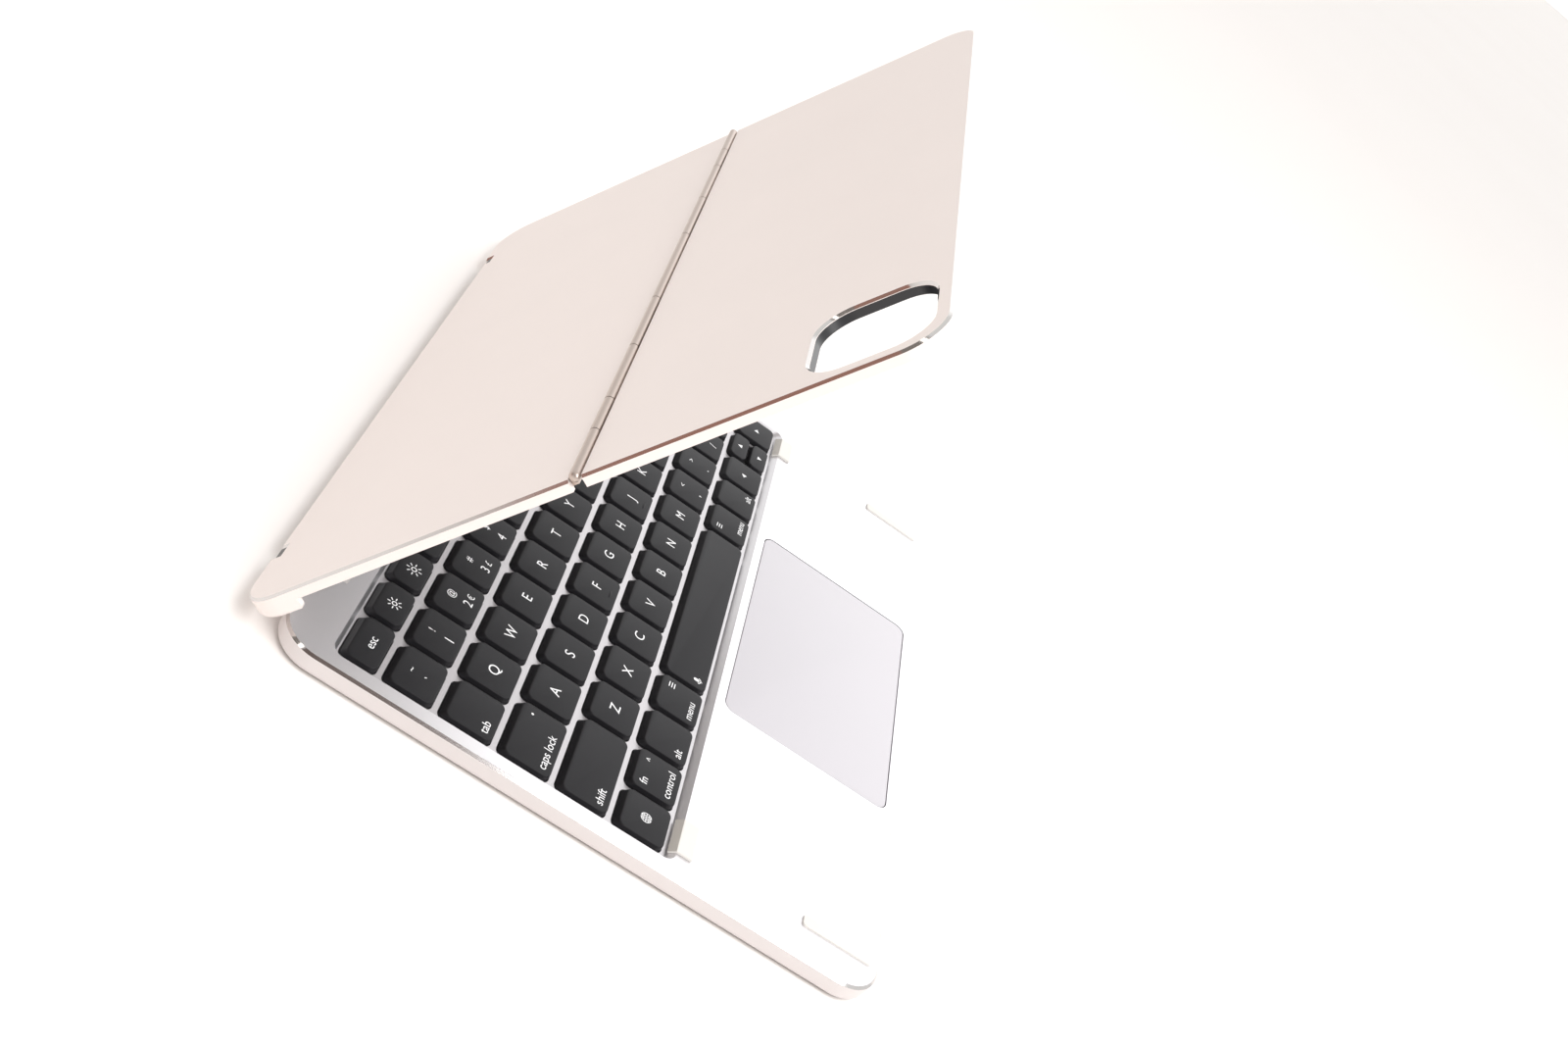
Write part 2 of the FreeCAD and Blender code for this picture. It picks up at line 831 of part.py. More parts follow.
def magnets_at(spots, gap):
    width = magnet_size[0] / 2 + gap
    depth = magnet_size[1] / 2 + gap
    z0 = lid_top - skin_thickness
    return [box(x - width, x + width, y - depth, y + depth, z0, z0 + magnet_thickness + gap)
            for x, y in spots]


def leaf_pocket(y0, y1):
    x = half_width - rim_width
    z0 = lid_top - skin_thickness
    return box(-x, x, min(y0, y1), max(y0, y1), z0, z0 + leaf_thickness)


def lower_magnet_spots():
    y = (lower_end + axis_y - lobe_length) / 2
    return magnet_spots(y - lower_magnet_row, y + lower_magnet_row, lower_magnet_columns)


def upper_magnet_spots():
    y = (lid_front + upper_end) / 2
    spots = magnet_spots(y - upper_magnet_row, y + upper_magnet_row, upper_magnet_columns)
    x_limit = -half_width + camera_side_edge + camera_width + magnet_size[0]
    y_limit = lid_front + camera_top_edge + camera_length + magnet_size[1]
    return [(x, y) for x, y in spots if x > x_limit or y > y_limit]


def make_lower_leaf():
    half = half_width
    reach = barrel_half_length + notch_gap + tail_cover
    lobe_inner = reach + slot_width
    tail_end = axis_y + lid_past_axis
    skin = slab(-half, half, lower_end, lid_rear, lid_top - skin_thickness, lid_top, 0, corner_radius)
    skin = skin.cut(box(-lobe_inner, lobe_inner, tail_end, lid_rear, lid_top - skin_thickness, lid_top))
    slot = box(reach, lobe_inner, tail_end - slot_depth, tail_end, lid_top - skin_thickness, lid_top)
    for copy in both(slot):
        skin = skin.cut(copy)
    skin = chamfered(skin, lower_end)
    under = slab(-half, half, lower_end, lid_rear, lid_top - lid_thickness, lid_top - skin_thickness,
                 0, corner_radius)
    inner = half - rim_width
    under = under.cut(box(-inner, inner, lower_end, lid_rear, lid_top - lid_thickness,
                          lid_top - skin_thickness))
    lobe_front = lid_rear - lobe_length
    lobe_under = lid_top - lobe_thickness
    lobe = slab(-half, half, lower_end, lid_rear, lobe_under, lid_top - skin_thickness, 0, corner_radius)
    lobe = lobe.common(box(lobe_inner, half, lobe_front, lid_rear, lobe_under, lid_top - skin_thickness))
    lobe = lobe.makeFillet(lobe_round, level_edges(lobe, lobe_under))
    lobe = lobe.cut(slab(lobe_tip - half, half - lobe_tip, lower_end, lobe_front + lobe_hollow, lobe_under,
                         lid_top - lid_thickness, 0, lobe_hollow))
    panel = skin.fuse([under] + both(lobe))
    panel = panel.cut(leaf_pocket(lower_end, lower_end + leaf_length + face_gap))
    for pocket in magnets_at(lower_magnet_spots(), face_gap):
        panel = panel.cut(pocket)
    add("lower_panel", opened(panel.removeSplitter()))
    lining = box(-inner + face_gap, inner - face_gap, lower_end + lid_chamfer, lobe_front - mid_side_gap,
                 lid_top - skin_thickness - lining_thickness, lid_top - skin_thickness)
    add("lower_lining", opened(lining))
    add("lower_magnets", [opened(m) for m in magnets_at(lower_magnet_spots(), 0.0)])


def camera_area(extra, z0, z1):
    x0 = -half_width + camera_side_edge
    y0 = lid_front + camera_top_edge
    return slab(x0 - extra, x0 + camera_width + extra, y0 - extra, y0 + camera_length + extra,
                z0, z1, camera_radius + extra)


def make_upper_leaf():
    half = half_width
    plate = slab(-half, half, lid_front, upper_end, lid_top - skin_thickness, lid_top, corner_radius, 0)
    plate = plate.cut(camera_area(0.0, lid_top - skin_thickness, lid_top))
    plate = chamfered(plate, upper_end)
    under = slab(-half, half, lid_front, upper_end, lid_top - lid_thickness, lid_top - skin_thickness,
                 corner_radius, 0)
    inner = half - rim_width
    hollow = slab(-inner, inner, lid_front + rim_width, upper_end, lid_top - lid_thickness,
                  lid_top - skin_thickness, corner_radius - rim_width, 0)
    panel = plate.fuse(under.cut(hollow))
    panel = panel.cut(camera_area(rim_ring_wall, lid_top - lid_thickness, lid_top - rim_ring_depth))
    panel = panel.cut(leaf_pocket(upper_end, upper_end - leaf_length - face_gap))
    for pocket in magnets_at(upper_magnet_spots(), face_gap):
        panel = panel.cut(pocket)
    add("upper_panel", opened(panel))
    lining = slab(-inner + face_gap, inner - face_gap, lid_front + rim_width + face_gap,
                  upper_end - lid_chamfer, lid_top - skin_thickness - lining_thickness,
                  lid_top - skin_thickness, corner_radius - rim_width - face_gap, 0)
    lining = lining.cut(camera_area(rim_ring_wall + face_gap, lid_top - lid_thickness,
                                    lid_top - skin_thickness))
    add("upper_lining", opened(lining))
    ring = camera_area(rim_ring_wall - face_gap, lid_top - lid_thickness, lid_top - rim_ring_depth)
    ring = ring.cut(camera_area(0.0, lid_top - lid_thickness, lid_top - rim_ring_depth))
    add("camera_rim", opened(ring))
    add("tablet_magnets", [opened(m) for m in magnets_at(upper_magnet_spots(), 0.0)])


# Middle hinge
def knuckle(x0, x1, side):
    # One length of the barrel with its leaf, which lies in the pocket of the panel on that side.
    barrel = rod(mid_radius, x0, x1, mid_y, mid_z)
    if side > 0:
        leaf_end = lower_end + leaf_length
    else:
        leaf_end = upper_end - leaf_length
    z0 = lid_top - skin_thickness
    limit = half_width - rim_width - face_gap
    leaf = box(max(x0, -limit), min(x1, limit), min(mid_y, leaf_end), max(mid_y, leaf_end), z0,
               z0 + leaf_thickness)
    part = barrel.fuse(leaf)
    return part.cut(rod(mid_pin_radius + running_gap, x0 - overshoot, x1 + overshoot, mid_y, mid_z))


def make_middle_hinge():
    end = half_width - mid_end_gap - mid_radius
    stops = [-end] + [-x for x in reversed(mid_seams)] + list(mid_seams) + [end]
    lower = []
    upper = []
    for index, (x0, x1) in enumerate(zip(stops, stops[1:])):
        first = x0 if index == 0 else x0 + mid_side_gap / 2
        last = x1 if index == len(stops) - 2 else x1 - mid_side_gap / 2
        if index % 2 == 0:
            lower.append(knuckle(first, last, 1))
        else:
            upper.append(knuckle(first, last, -1))
    for position in (0, -1):
        x = stops[position]
        ball = Part.makeSphere(mid_radius, FreeCAD.Vector(x, mid_y, mid_z))
        bore = rod(mid_pin_radius + running_gap, -end, end, mid_y, mid_z)
        lower[position] = lower[position].fuse(ball).cut(bore)
    add("lower_knuckles", [opened(k) for k in lower])
    add("upper_knuckles", [opened(k) for k in upper])
    pin = rod(mid_pin_radius, -end + face_gap, end - face_gap, mid_y, mid_z)
    add("middle_hinge_pin", opened(pin))


def turned_place(y, z):
    # Where a point of the shut lid lies once the lid stands open.
    point = opened(Part.Vertex(0, y, z))
    return round(point.Y, 3), round(point.Z, 3)


cells = key_places()
make_keys(split_arrows(cells))
make_bottom_shell()
make_deck_plate()
make_key_frame(cells)
make_sheets(split_arrows(cells))
make_trackpad()
make_battery()
make_board()
make_charging_socket()
make_power_slider()
make_rubber()
make_case_screws()
make_housings()
make_friction_clips()
make_lid_spine()
make_lower_leaf()
make_upper_leaf()
make_middle_hinge()

os.makedirs("parts", exist_ok=True)
for name, shape in nodes.items():
    shape.exportStep("parts/" + name + ".step")
print(len(nodes), "nodes")
print("main hinge axis y, z:", round(axis_y, 3), round(axis_z, 3))
print("middle hinge axis y, z at rest:", turned_place(mid_y, mid_z))
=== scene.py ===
import math
import bmesh
import bpy
import numpy as np
from mathutils import Matrix, Vector


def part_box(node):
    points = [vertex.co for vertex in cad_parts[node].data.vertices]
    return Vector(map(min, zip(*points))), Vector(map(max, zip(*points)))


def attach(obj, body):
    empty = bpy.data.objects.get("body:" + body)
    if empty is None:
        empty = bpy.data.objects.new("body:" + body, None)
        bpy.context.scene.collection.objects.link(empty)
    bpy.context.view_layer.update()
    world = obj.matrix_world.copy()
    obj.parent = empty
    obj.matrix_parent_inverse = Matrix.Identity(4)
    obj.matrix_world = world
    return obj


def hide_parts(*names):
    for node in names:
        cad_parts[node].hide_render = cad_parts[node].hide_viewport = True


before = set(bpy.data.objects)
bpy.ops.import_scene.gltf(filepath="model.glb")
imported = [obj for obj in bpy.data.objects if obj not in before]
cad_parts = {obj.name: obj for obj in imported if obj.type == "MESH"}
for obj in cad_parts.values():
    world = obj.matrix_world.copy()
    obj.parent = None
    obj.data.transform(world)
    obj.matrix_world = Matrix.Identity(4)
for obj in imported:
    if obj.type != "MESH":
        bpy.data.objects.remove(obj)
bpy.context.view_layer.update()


# Table, light and camera
# The part stands on a plain pale table under a wide soft sky that is brighter low to its right, with a large
# soft light over its front left. The camera looks down at its left side from close by, as in the photograph.

camera_place = (-0.44935, 0.09108, 0.29172)
camera_turn = (54.43726, -35.55917, -81.64224)
camera_lens = 38.911
sky_base = 1.0
sky_bright = 0.80
bright_side = (0.87, -0.36, 0.25)
camera_side = (-0.67, 0.05, 0.74)
camera_side_tone = (0.20, 0.155, 0.14)
rear_side = (-0.25, 0.75, 0.61)
rear_side_tone = (0.30, 0.27, 0.25)
lamp_sides = ((-0.17, 0.59, 0.79), (-0.51, 0.49, 0.70), (-0.16, 0.80, 0.57))
lamp_bright = (4.0, 3.9, 3.7)
warm_side = (-0.34, 0.93, 0.10)
warm_tone = (0.46, 0.24, 0.19)


def side_mask(tree, direction, inner, outer):
    """1 where the sky's direction lies within `inner` degrees of the given one, 0 past `outer` degrees,
    smooth between: a smoothstep of the dot product of the two unit vectors."""
    coordinate = tree.nodes.new("ShaderNodeTexCoord")
    dot = tree.nodes.new("ShaderNodeVectorMath")
    dot.operation = "DOT_PRODUCT"
    dot.inputs[1].default_value = Vector(direction).normalized()
    ramp = tree.nodes.new("ShaderNodeMapRange")
    ramp.interpolation_type = "SMOOTHSTEP"
    ramp.inputs["From Min"].default_value = math.cos(math.radians(outer))
    ramp.inputs["From Max"].default_value = math.cos(math.radians(inner))
    tree.links.new(coordinate.outputs["Generated"], dot.inputs[0])
    tree.links.new(dot.outputs["Value"], ramp.inputs["Value"])
    return ramp.outputs["Result"]


def mixed(tree, factor, first, second):
    """A colour mix node: first where the factor is 0, second where it is 1."""
    mix = tree.nodes.new("ShaderNodeMix")
    mix.data_type = "RGBA"
    tree.links.new(factor, mix.inputs["Factor"])
    for socket, value in ((mix.inputs["A"], first), (mix.inputs["B"], second)):
        if isinstance(value, tuple):
            socket.default_value = (*value, 1)
        else:
            tree.links.new(value, socket)
    return mix.outputs["Result"]


def make_sky():
    world = bpy.data.worlds.new("studio_sky")
    bpy.context.scene.world = world
    world.use_nodes = True
    tree = world.node_tree
    even = (sky_base, sky_base * 0.995, sky_base * 0.985)
    bright = tuple(sky_base + sky_bright for _ in range(3))
    tone = mixed(tree, side_mask(tree, bright_side, 12, 42), even, bright)
    tone = mixed(tree, side_mask(tree, warm_side, 8, 24), tone, warm_tone)
    tone = mixed(tree, side_mask(tree, camera_side, 17, 24), tone, camera_side_tone)
    tone = mixed(tree, side_mask(tree, rear_side, 18, 25), tone, rear_side_tone)
    for lamp_side in lamp_sides:
        tone = mixed(tree, side_mask(tree, lamp_side, 2.5, 4.5), tone, lamp_bright)
    tree.links.new(tone, tree.nodes["Background"].inputs["Color"])


def make_window():
    light = bpy.data.lights.new("window_light", "AREA")
    light.shape = "DISK"
    light.size = 1.1
    light.energy = 14.0
    window = bpy.data.objects.new("window_light", light)
    bpy.context.scene.collection.objects.link(window)
    window.location = (-0.60, -0.50, 1.20)
    window.rotation_euler = (-window.location).to_track_quat("-Z", "Y").to_euler()


def make_table():
    mesh = bpy.data.meshes.new("table")
    reach = 40.0
    mesh.from_pydata([(-reach, -reach, 0), (reach, -reach, 0), (reach, reach, 0), (-reach, reach, 0)], [],
                     [(0, 1, 2, 3)])
    table = bpy.data.objects.new("table", mesh)
    bpy.context.scene.collection.objects.link(table)
    material = bpy.data.materials.new("pale_table")
    material.use_nodes = True
    tree = material.node_tree
    shader = tree.nodes["Principled BSDF"]
    shader.inputs["Roughness"].default_value = 0.75
    coordinate = tree.nodes.new("ShaderNodeTexCoord")
    cloud = tree.nodes.new("ShaderNodeTexNoise")
    cloud.inputs["Scale"].default_value = 1.6
    tree.links.new(coordinate.outputs["Object"], cloud.inputs["Vector"])
    tone = mixed(tree, cloud.outputs["Fac"], (0.94, 0.905, 0.88), (0.96, 0.93, 0.91))
    tree.links.new(tone, shader.inputs["Base Color"])
    mesh.materials.append(material)


def make_camera():
    data = bpy.data.cameras.new("photo_camera")
    data.sensor_fit = "HORIZONTAL"
    data.sensor_width = 36.0
    data.lens = camera_lens
    data.clip_start = 0.01
    camera = bpy.data.objects.new("photo_camera", data)
    bpy.context.scene.collection.objects.link(camera)
    camera.location = camera_place
    camera.rotation_euler = [math.radians(a) for a in camera_turn]
    bpy.context.scene.camera = camera
    bpy.context.scene.view_settings.view_transform = "Standard"


make_sky()
make_window()
make_table()
make_camera()


# Bottom shell
# The tub that forms the sides and the underside, milled from aluminium, bead blasted and anodised a pale
# cream. The thin chamfer round its upper edge is cut afterwards and left bright.

case_cream = (0.69, 0.645, 0.635)
cut_metal = (0.62, 0.60, 0.59)


def fine_surface():
    """The node group that every finish shares. A slow cloud shifts the tint and the gloss a little, and a
    fine grain gives the height for the bump; all three are noise on Object coordinates."""
    group = bpy.data.node_groups.new("fine_surface", "ShaderNodeTree")
    face = group.interface
    face.new_socket("Tint", in_out="INPUT", socket_type="NodeSocketColor")
    for label in ("Tone spread", "Gloss", "Gloss spread", "Patch scale", "Grain scale"):
        face.new_socket(label, in_out="INPUT", socket_type="NodeSocketFloat")
    face.new_socket("Colour", in_out="OUTPUT", socket_type="NodeSocketColor")
    face.new_socket("Roughness", in_out="OUTPUT", socket_type="NodeSocketFloat")
    face.new_socket("Height", in_out="OUTPUT", socket_type="NodeSocketFloat")
    nodes = group.nodes
    links = group.links
    entry = nodes.new("NodeGroupInput")
    leave = nodes.new("NodeGroupOutput")
    place = nodes.new("ShaderNodeTexCoord")
    cloud = nodes.new("ShaderNodeTexNoise")
    cloud.inputs["Detail"].default_value = 4
    grain = nodes.new("ShaderNodeTexNoise")
    grain.inputs["Detail"].default_value = 2
    links.new(place.outputs["Object"], cloud.inputs["Vector"])
    links.new(place.outputs["Object"], grain.inputs["Vector"])
    links.new(entry.outputs["Patch scale"], cloud.inputs["Scale"])
    links.new(entry.outputs["Grain scale"], grain.inputs["Scale"])
    blend = nodes.new("ShaderNodeMath")
    blend.operation = "MULTIPLY_ADD"
    blend.inputs[1].default_value = 0.7
    share = nodes.new("ShaderNodeMath")
    share.operation = "MULTIPLY"
    share.inputs[1].default_value = 0.3
    links.new(grain.outputs["Fac"], share.inputs[0])
    links.new(cloud.outputs["Fac"], blend.inputs[0])
    links.new(share.outputs["Value"], blend.inputs[2])
    centred = nodes.new("ShaderNodeMath")
    centred.operation = "SUBTRACT"
    centred.inputs[1].default_value = 0.5
    links.new(blend.outputs["Value"], centred.inputs[0])
    tone = nodes.new("ShaderNodeMath")
    tone.operation = "MULTIPLY_ADD"
    tone.inputs[2].default_value = 1.0
    links.new(centred.outputs["Value"], tone.inputs[0])
    links.new(entry.outputs["Tone spread"], tone.inputs[1])
    tinted = nodes.new("ShaderNodeVectorMath")
    tinted.operation = "SCALE"
    links.new(entry.outputs["Tint"], tinted.inputs[0])
    links.new(tone.outputs["Value"], tinted.inputs["Scale"])
    gloss = nodes.new("ShaderNodeMath")
    gloss.operation = "MULTIPLY_ADD"
    links.new(centred.outputs["Value"], gloss.inputs[0])
    links.new(entry.outputs["Gloss spread"], gloss.inputs[1])
    links.new(entry.outputs["Gloss"], gloss.inputs[2])
    links.new(tinted.outputs["Vector"], leave.inputs["Colour"])
    links.new(gloss.outputs["Value"], leave.inputs["Roughness"])
    links.new(grain.outputs["Fac"], leave.inputs["Height"])
    return group


surface_effect = fine_surface()


def finish(name, tint, metallic, roughness, tone=0.05, spread=0.08, patch=35, grain=3500, depth=2e-6,
           **sockets):
    """A Principled material whose colour, roughness and bump come from the shared surface group. `depth`
    is the grain's height in metres, and further sockets are set on the shader itself."""
    material = bpy.data.materials.new(name)
    material.use_nodes = True
    tree = material.node_tree
    shader = tree.nodes["Principled BSDF"]
    shader.inputs["Metallic"].default_value = metallic
    for label, value in sockets.items():
        shader.inputs[label.replace("_", " ")].default_value = value
    effect = tree.nodes.new("ShaderNodeGroup")
    effect.name = "surface"
    effect.node_tree = surface_effect
    effect.inputs["Tint"].default_value = (*tint, 1)
    for label, value in (("Tone spread", tone), ("Gloss", roughness), ("Gloss spread", spread),
                         ("Patch scale", patch), ("Grain scale", grain)):
        effect.inputs[label].default_value = value
    bump = tree.nodes.new("ShaderNodeBump")
    bump.inputs["Distance"].default_value = depth
    tree.links.new(effect.outputs["Colour"], shader.inputs["Base Color"])
    tree.links.new(effect.outputs["Roughness"], shader.inputs["Roughness"])
    tree.links.new(effect.outputs["Height"], bump.inputs["Height"])
    tree.links.new(bump.outputs["Normal"], shader.inputs["Normal"])
    return material


def facet_mask():
    """The node group that finds faces at 45 degrees: 1 where the surface's own normal stands at 45 degrees to the
    given axis, 0 elsewhere. On the metal these faces are the cut chamfers, and on the corner bumpers they are the
    sloped faces that get painted shade."""
    group = bpy.data.node_groups.new("facet_mask", "ShaderNodeTree")
    group.interface.new_socket("Axis", in_out="INPUT", socket_type="NodeSocketVector")
    group.interface.new_socket("Mask", in_out="OUTPUT", socket_type="NodeSocketFloat")
    nodes = group.nodes
    links = group.links
    entry = nodes.new("NodeGroupInput")
    leave = nodes.new("NodeGroupOutput")
    place = nodes.new("ShaderNodeTexCoord")
    dot = nodes.new("ShaderNodeVectorMath")
    dot.operation = "DOT_PRODUCT"
    near = nodes.new("ShaderNodeMath")
    near.operation = "COMPARE"
    near.inputs[1].default_value = math.sqrt(0.5)
    near.inputs[2].default_value = 0.1
    links.new(place.outputs["Normal"], dot.inputs[0])
    links.new(entry.outputs["Axis"], dot.inputs[1])
    links.new(dot.outputs["Value"], near.inputs[0])
    links.new(near.outputs["Value"], leave.inputs["Mask"])
    return group


facet_effect = facet_mask()


def with_facet_tint(material, axis, tint, roughness, metallic=1.0):
    """Gives a material another tint and gloss on the faces at about 45 degrees to the axis."""
    tree = material.node_tree
    shader = tree.nodes["Principled BSDF"]
    surface = tree.nodes["surface"]
    cut = tree.nodes.new("ShaderNodeGroup")
    cut.node_tree = facet_effect
    cut.inputs["Axis"].default_value = axis
    mask = cut.outputs["Mask"]
    tree.links.new(mixed(tree, mask, surface.outputs["Colour"], tint), shader.inputs["Base Color"])
    for label, low, high in (("Roughness", surface.outputs["Roughness"], roughness),
                             ("Metallic", shader.inputs["Metallic"].default_value, metallic)):
        mix = tree.nodes.new("ShaderNodeMix")
        tree.links.new(mask, mix.inputs["Factor"])
        if isinstance(low, float):
            mix.inputs["A"].default_value = low
        else:
            tree.links.new(low, mix.inputs["A"])
        mix.inputs["B"].default_value = high
        tree.links.new(mix.outputs["Result"], shader.inputs[label])
    return material


def node_points(node):
    """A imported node's points with equal ones made one (to 0.1 micron), and its triangles without the
    ones that this closes up."""
    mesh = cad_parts[node].data
    points = np.empty(len(mesh.vertices) * 3)
    mesh.vertices.foreach_get("co", points)
    points = points.reshape(-1, 3)
    corners = np.empty(len(mesh.loops), int)
    mesh.loops.foreach_get("vertex_index", corners)
    keys = np.round(points * 1e7).astype(np.int64)
    unique, first, inverse = np.unique(keys, axis=0, return_index=True, return_inverse=True)
    triangles = inverse.ravel()[corners].reshape(-1, 3)
    a, b, c = triangles.T
    return points[first], triangles[(a != b) & (b != c) & (c != a)]


def put(name, points, faces, material, smooth=True):
    """Makes an object at the origin from points in the part's own frame."""
    mesh = bpy.data.meshes.new(name)
    mesh.from_pydata(np.asarray(points, float).tolist(), [], [list(face) for face in faces])
    mesh.polygons.foreach_set("use_smooth", [smooth] * len(mesh.polygons))
    mesh.materials.append(material)
    piece = bpy.data.objects.new(name, mesh)
    bpy.context.scene.collection.objects.link(piece)
    return piece


def smooth_copy(node, name, material, sharp=32.0):
    """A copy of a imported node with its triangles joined. Edges that turn by more than `sharp` degrees stay
    crisp, and the others are shaded by normals weighted with the area of the faces."""
    piece = put(name, *node_points(node), material)
    piece.data.set_sharp_from_angle(angle=math.radians(sharp))
    weighted = piece.modifiers.new("weighted_normals", "WEIGHTED_NORMAL")
    weighted.keep_sharp = True
    weighted.weight = 100
    return piece


case_finish = with_facet_tint(finish("cream_anodised", case_cream, 0.25, 0.46, spread=0.06), (0, 0, 1), cut_metal,
                       0.12)
shell_piece = smooth_copy("bottom_shell", "bottom_tub", case_finish)
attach(shell_piece, "base")
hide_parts("bottom_shell")


# Deck plate
# The upper face with the key well and the window of the trackpad, milled from aluminium, finely blasted and
# left silver. It drops into the tub and is held by screws from below.

deck_silver = (0.83, 0.815, 0.835)
deck_finish = finish("silver_blasted", deck_silver, 1.0, 0.36, tone=0.04, spread=0.10, grain=5200,
                     depth=2.5e-6)
deck_piece = smooth_copy("deck_plate", "deck", deck_finish)
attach(deck_piece, "base")
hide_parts("deck_plate")


# Frame between the keys
# A thin stamped plate with one opening for each key, glued under the well. It has the silver of the deck.

web_finish = finish("silver_web", (0.62, 0.60, 0.615), 0.85, 0.42, tone=0.04, grain=5200)
web_piece = smooth_copy("key_frame", "web_between_keys", web_finish)
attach(web_piece, "base")
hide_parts("key_frame")


# Parts under the keys
# A steel backing plate, a printed membrane, the sheet with a rubber dome for each key, and the plastic
# scissor links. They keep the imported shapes, and only their edges show in the gaps.

backing_steel = (0.50, 0.50, 0.51)
membrane_film = (0.11, 0.13, 0.12)
dome_rubber = (0.20, 0.20, 0.21)
link_plastic = (0.055, 0.055, 0.06)


def dress(node, material):
    """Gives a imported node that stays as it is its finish."""
    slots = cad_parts[node].data.materials
    slots.clear()
    slots.append(material)


dress("backing_plate", finish("backing_steel", backing_steel, 1.0, 0.4))
dress("membrane_sheet", finish("membrane_film", membrane_film, 0.0, 0.35, grain=900))
dress("dome_sheet", finish("dome_rubber", dome_rubber, 0.0, 0.6))
dress("scissor_links", finish("link_plastic", link_plastic, 0.0, 0.5))


# Keycaps
# Thin moulded cups of charcoal plastic with a rounded upper edge, upright sides and a rear side that leans
# forward. Each clips to its pair of links and goes down by one millimetre.

charcoal = (0.0105, 0.010, 0.012)
cap_round = 0.00035
cap_skin = 0.0009
cap_roof = 0.0010
cap_corner = 0.0020
corner_steps = 7
bar_node = "home_letter_keys"
bar_keys = (3, 6)
bar_size = (0.0032, 0.0005)
bar_from_front = 0.0022
bar_height = 0.00012
deck_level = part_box("esc_key")[1].z
letter_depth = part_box("esc_key")[1].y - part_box("esc_key")[0].y


def solids_of(node):
    """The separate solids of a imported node, from left to right, as arrays of their points: each point takes
    the lowest number found along its triangles until nothing changes."""
    points, triangles = node_points(node)
    label = np.arange(len(points))
    while True:
        low = label[triangles].min(axis=1)
        following = label.copy()
        np.minimum.at(following, triangles.ravel(), np.repeat(low, 3))
        following = following[following]
        if (following == label).all():
            break
        label = following
    groups = [points[label == value] for value in np.unique(label)]
    return sorted(groups, key=lambda group: group[:, 0].min())


def ring(x0, x1, y0, y1, radius, z, steps=corner_steps):
    """Points round a rectangle with round corners: each corner is its centre plus the radius times
    (cos a, sin a), with a over a quarter turn."""
    a = np.linspace(0, math.pi / 2, steps)
    turns = []
    for x, y, start in ((x0 + radius, y0 + radius, math.pi), (x1 - radius, y0 + radius, 1.5 * math.pi),
                        (x1 - radius, y1 - radius, 0.0), (x0 + radius, y1 - radius, 0.5 * math.pi)):
        turns.append(np.stack([x + radius * np.cos(a + start), y + radius * np.sin(a + start),
                               np.full(steps, z)], axis=1))
    return np.concatenate(turns)


def stacked(rings, first=0):
    """The faces of a closed skin over rings of equal length: four-sided faces between neighbours, and one
    flat face at each end. The rings run from the inside of the underside to the top."""
    count = len(rings[0])
    i = np.arange(count)
    faces = []
    for level in range(len(rings) - 1):
        a = first + level * count
        b = a + count
        faces += np.stack([a + i, a + (i + 1) % count, b + (i + 1) % count, b + i], axis=1).tolist()
    faces.append((first + i[::-1]).tolist())
    faces.append((first + (len(rings) - 1) * count + i).tolist())
    return faces


def cap_rings(low, high, floor):
    """One keycap: the underside of its roof, the inner wall, the rim and the leaning outer wall, which rolls
    over to the top by an arc: inset = r (1 - cos a), height = r (sin a - 1)."""
    x0, x1, y0, y1 = low
    u0, u1, v0, v1 = high
    roof = deck_level - cap_roof
    inner = (x0 + cap_skin, x1 - cap_skin, y0 + cap_skin, v1 - cap_skin)
    rings = [ring(*inner, cap_corner / 2, roof), ring(*inner, cap_corner / 2, floor)]
    rings.append(ring(*low, cap_corner, floor))
    tall = deck_level - floor
    share = (tall - cap_round) / tall
    for angle in np.linspace(0, math.pi / 2, 5):
        inset = cap_round * (1 - math.cos(angle))
        z = deck_level - cap_round + cap_round * math.sin(angle)
        side = [edge + (top - edge) * share for edge, top in zip(low, high)]
        lean = 1 - math.cos(angle)
        x_low, x_high = side[0] + inset, side[1] - inset
        y_low = side[2] + inset
        y_high = side[3] - inset - (side[3] - v1) * lean
        rings.append(ring(x_low, x_high, y_low, y_high, cap_corner - inset, z))
    return rings


def make_caps(node, material):
    """All caps of one node as one piece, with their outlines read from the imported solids."""
    points = []
    faces = []
    for index, solid in enumerate(solids_of(node)):
        floor = solid[:, 2].min()
        base = solid[np.abs(solid[:, 2] - floor) < 1e-6]
        top = solid[np.abs(solid[:, 2] - deck_level) < 1e-6]
        low = (base[:, 0].min(), base[:, 0].max(), base[:, 1].min(), base[:, 1].max())
        high = (top[:, 0].min(), top[:, 0].max(), top[:, 1].min(), top[:, 1].max())
        rings = cap_rings(low, high, floor)
        faces += stacked(rings, len(points))
        points += np.concatenate(rings).tolist()
        key_faces.setdefault(node, []).append(high)
        if node == bar_node and index in bar_keys:
            cx = (high[0] + high[1]) / 2
            y = low[2] + bar_from_front
            length, breadth = bar_size
            bar = []
            for inset, z in ((0.0, -bar_height), (0.0, bar_height / 3), (breadth / 5, bar_height)):
                bar.append(ring(cx - length / 2 + inset, cx + length / 2 - inset, y + inset,
                                y + breadth - inset, breadth / 2 - inset - 1e-6, deck_level + z))
            faces += stacked(bar, len(points))
            points += np.concatenate(bar).tolist()
    piece = put(node + "_caps", points, faces, material)
    piece.data.set_sharp_from_angle(angle=math.radians(40))
    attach(piece, node + "_body")
    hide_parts(node)


key_faces = {}
key_nodes = [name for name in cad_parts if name.endswith("_key") or name.endswith("_keys")]
key_finish = finish("charcoal_keys", charcoal, 0.0, 0.50, tone=0.10, spread=0.10, grain=6500, depth=3e-6,
                    Specular_IOR_Level=0.28)
for key_node in sorted(key_nodes):
    make_caps(key_node, key_finish)


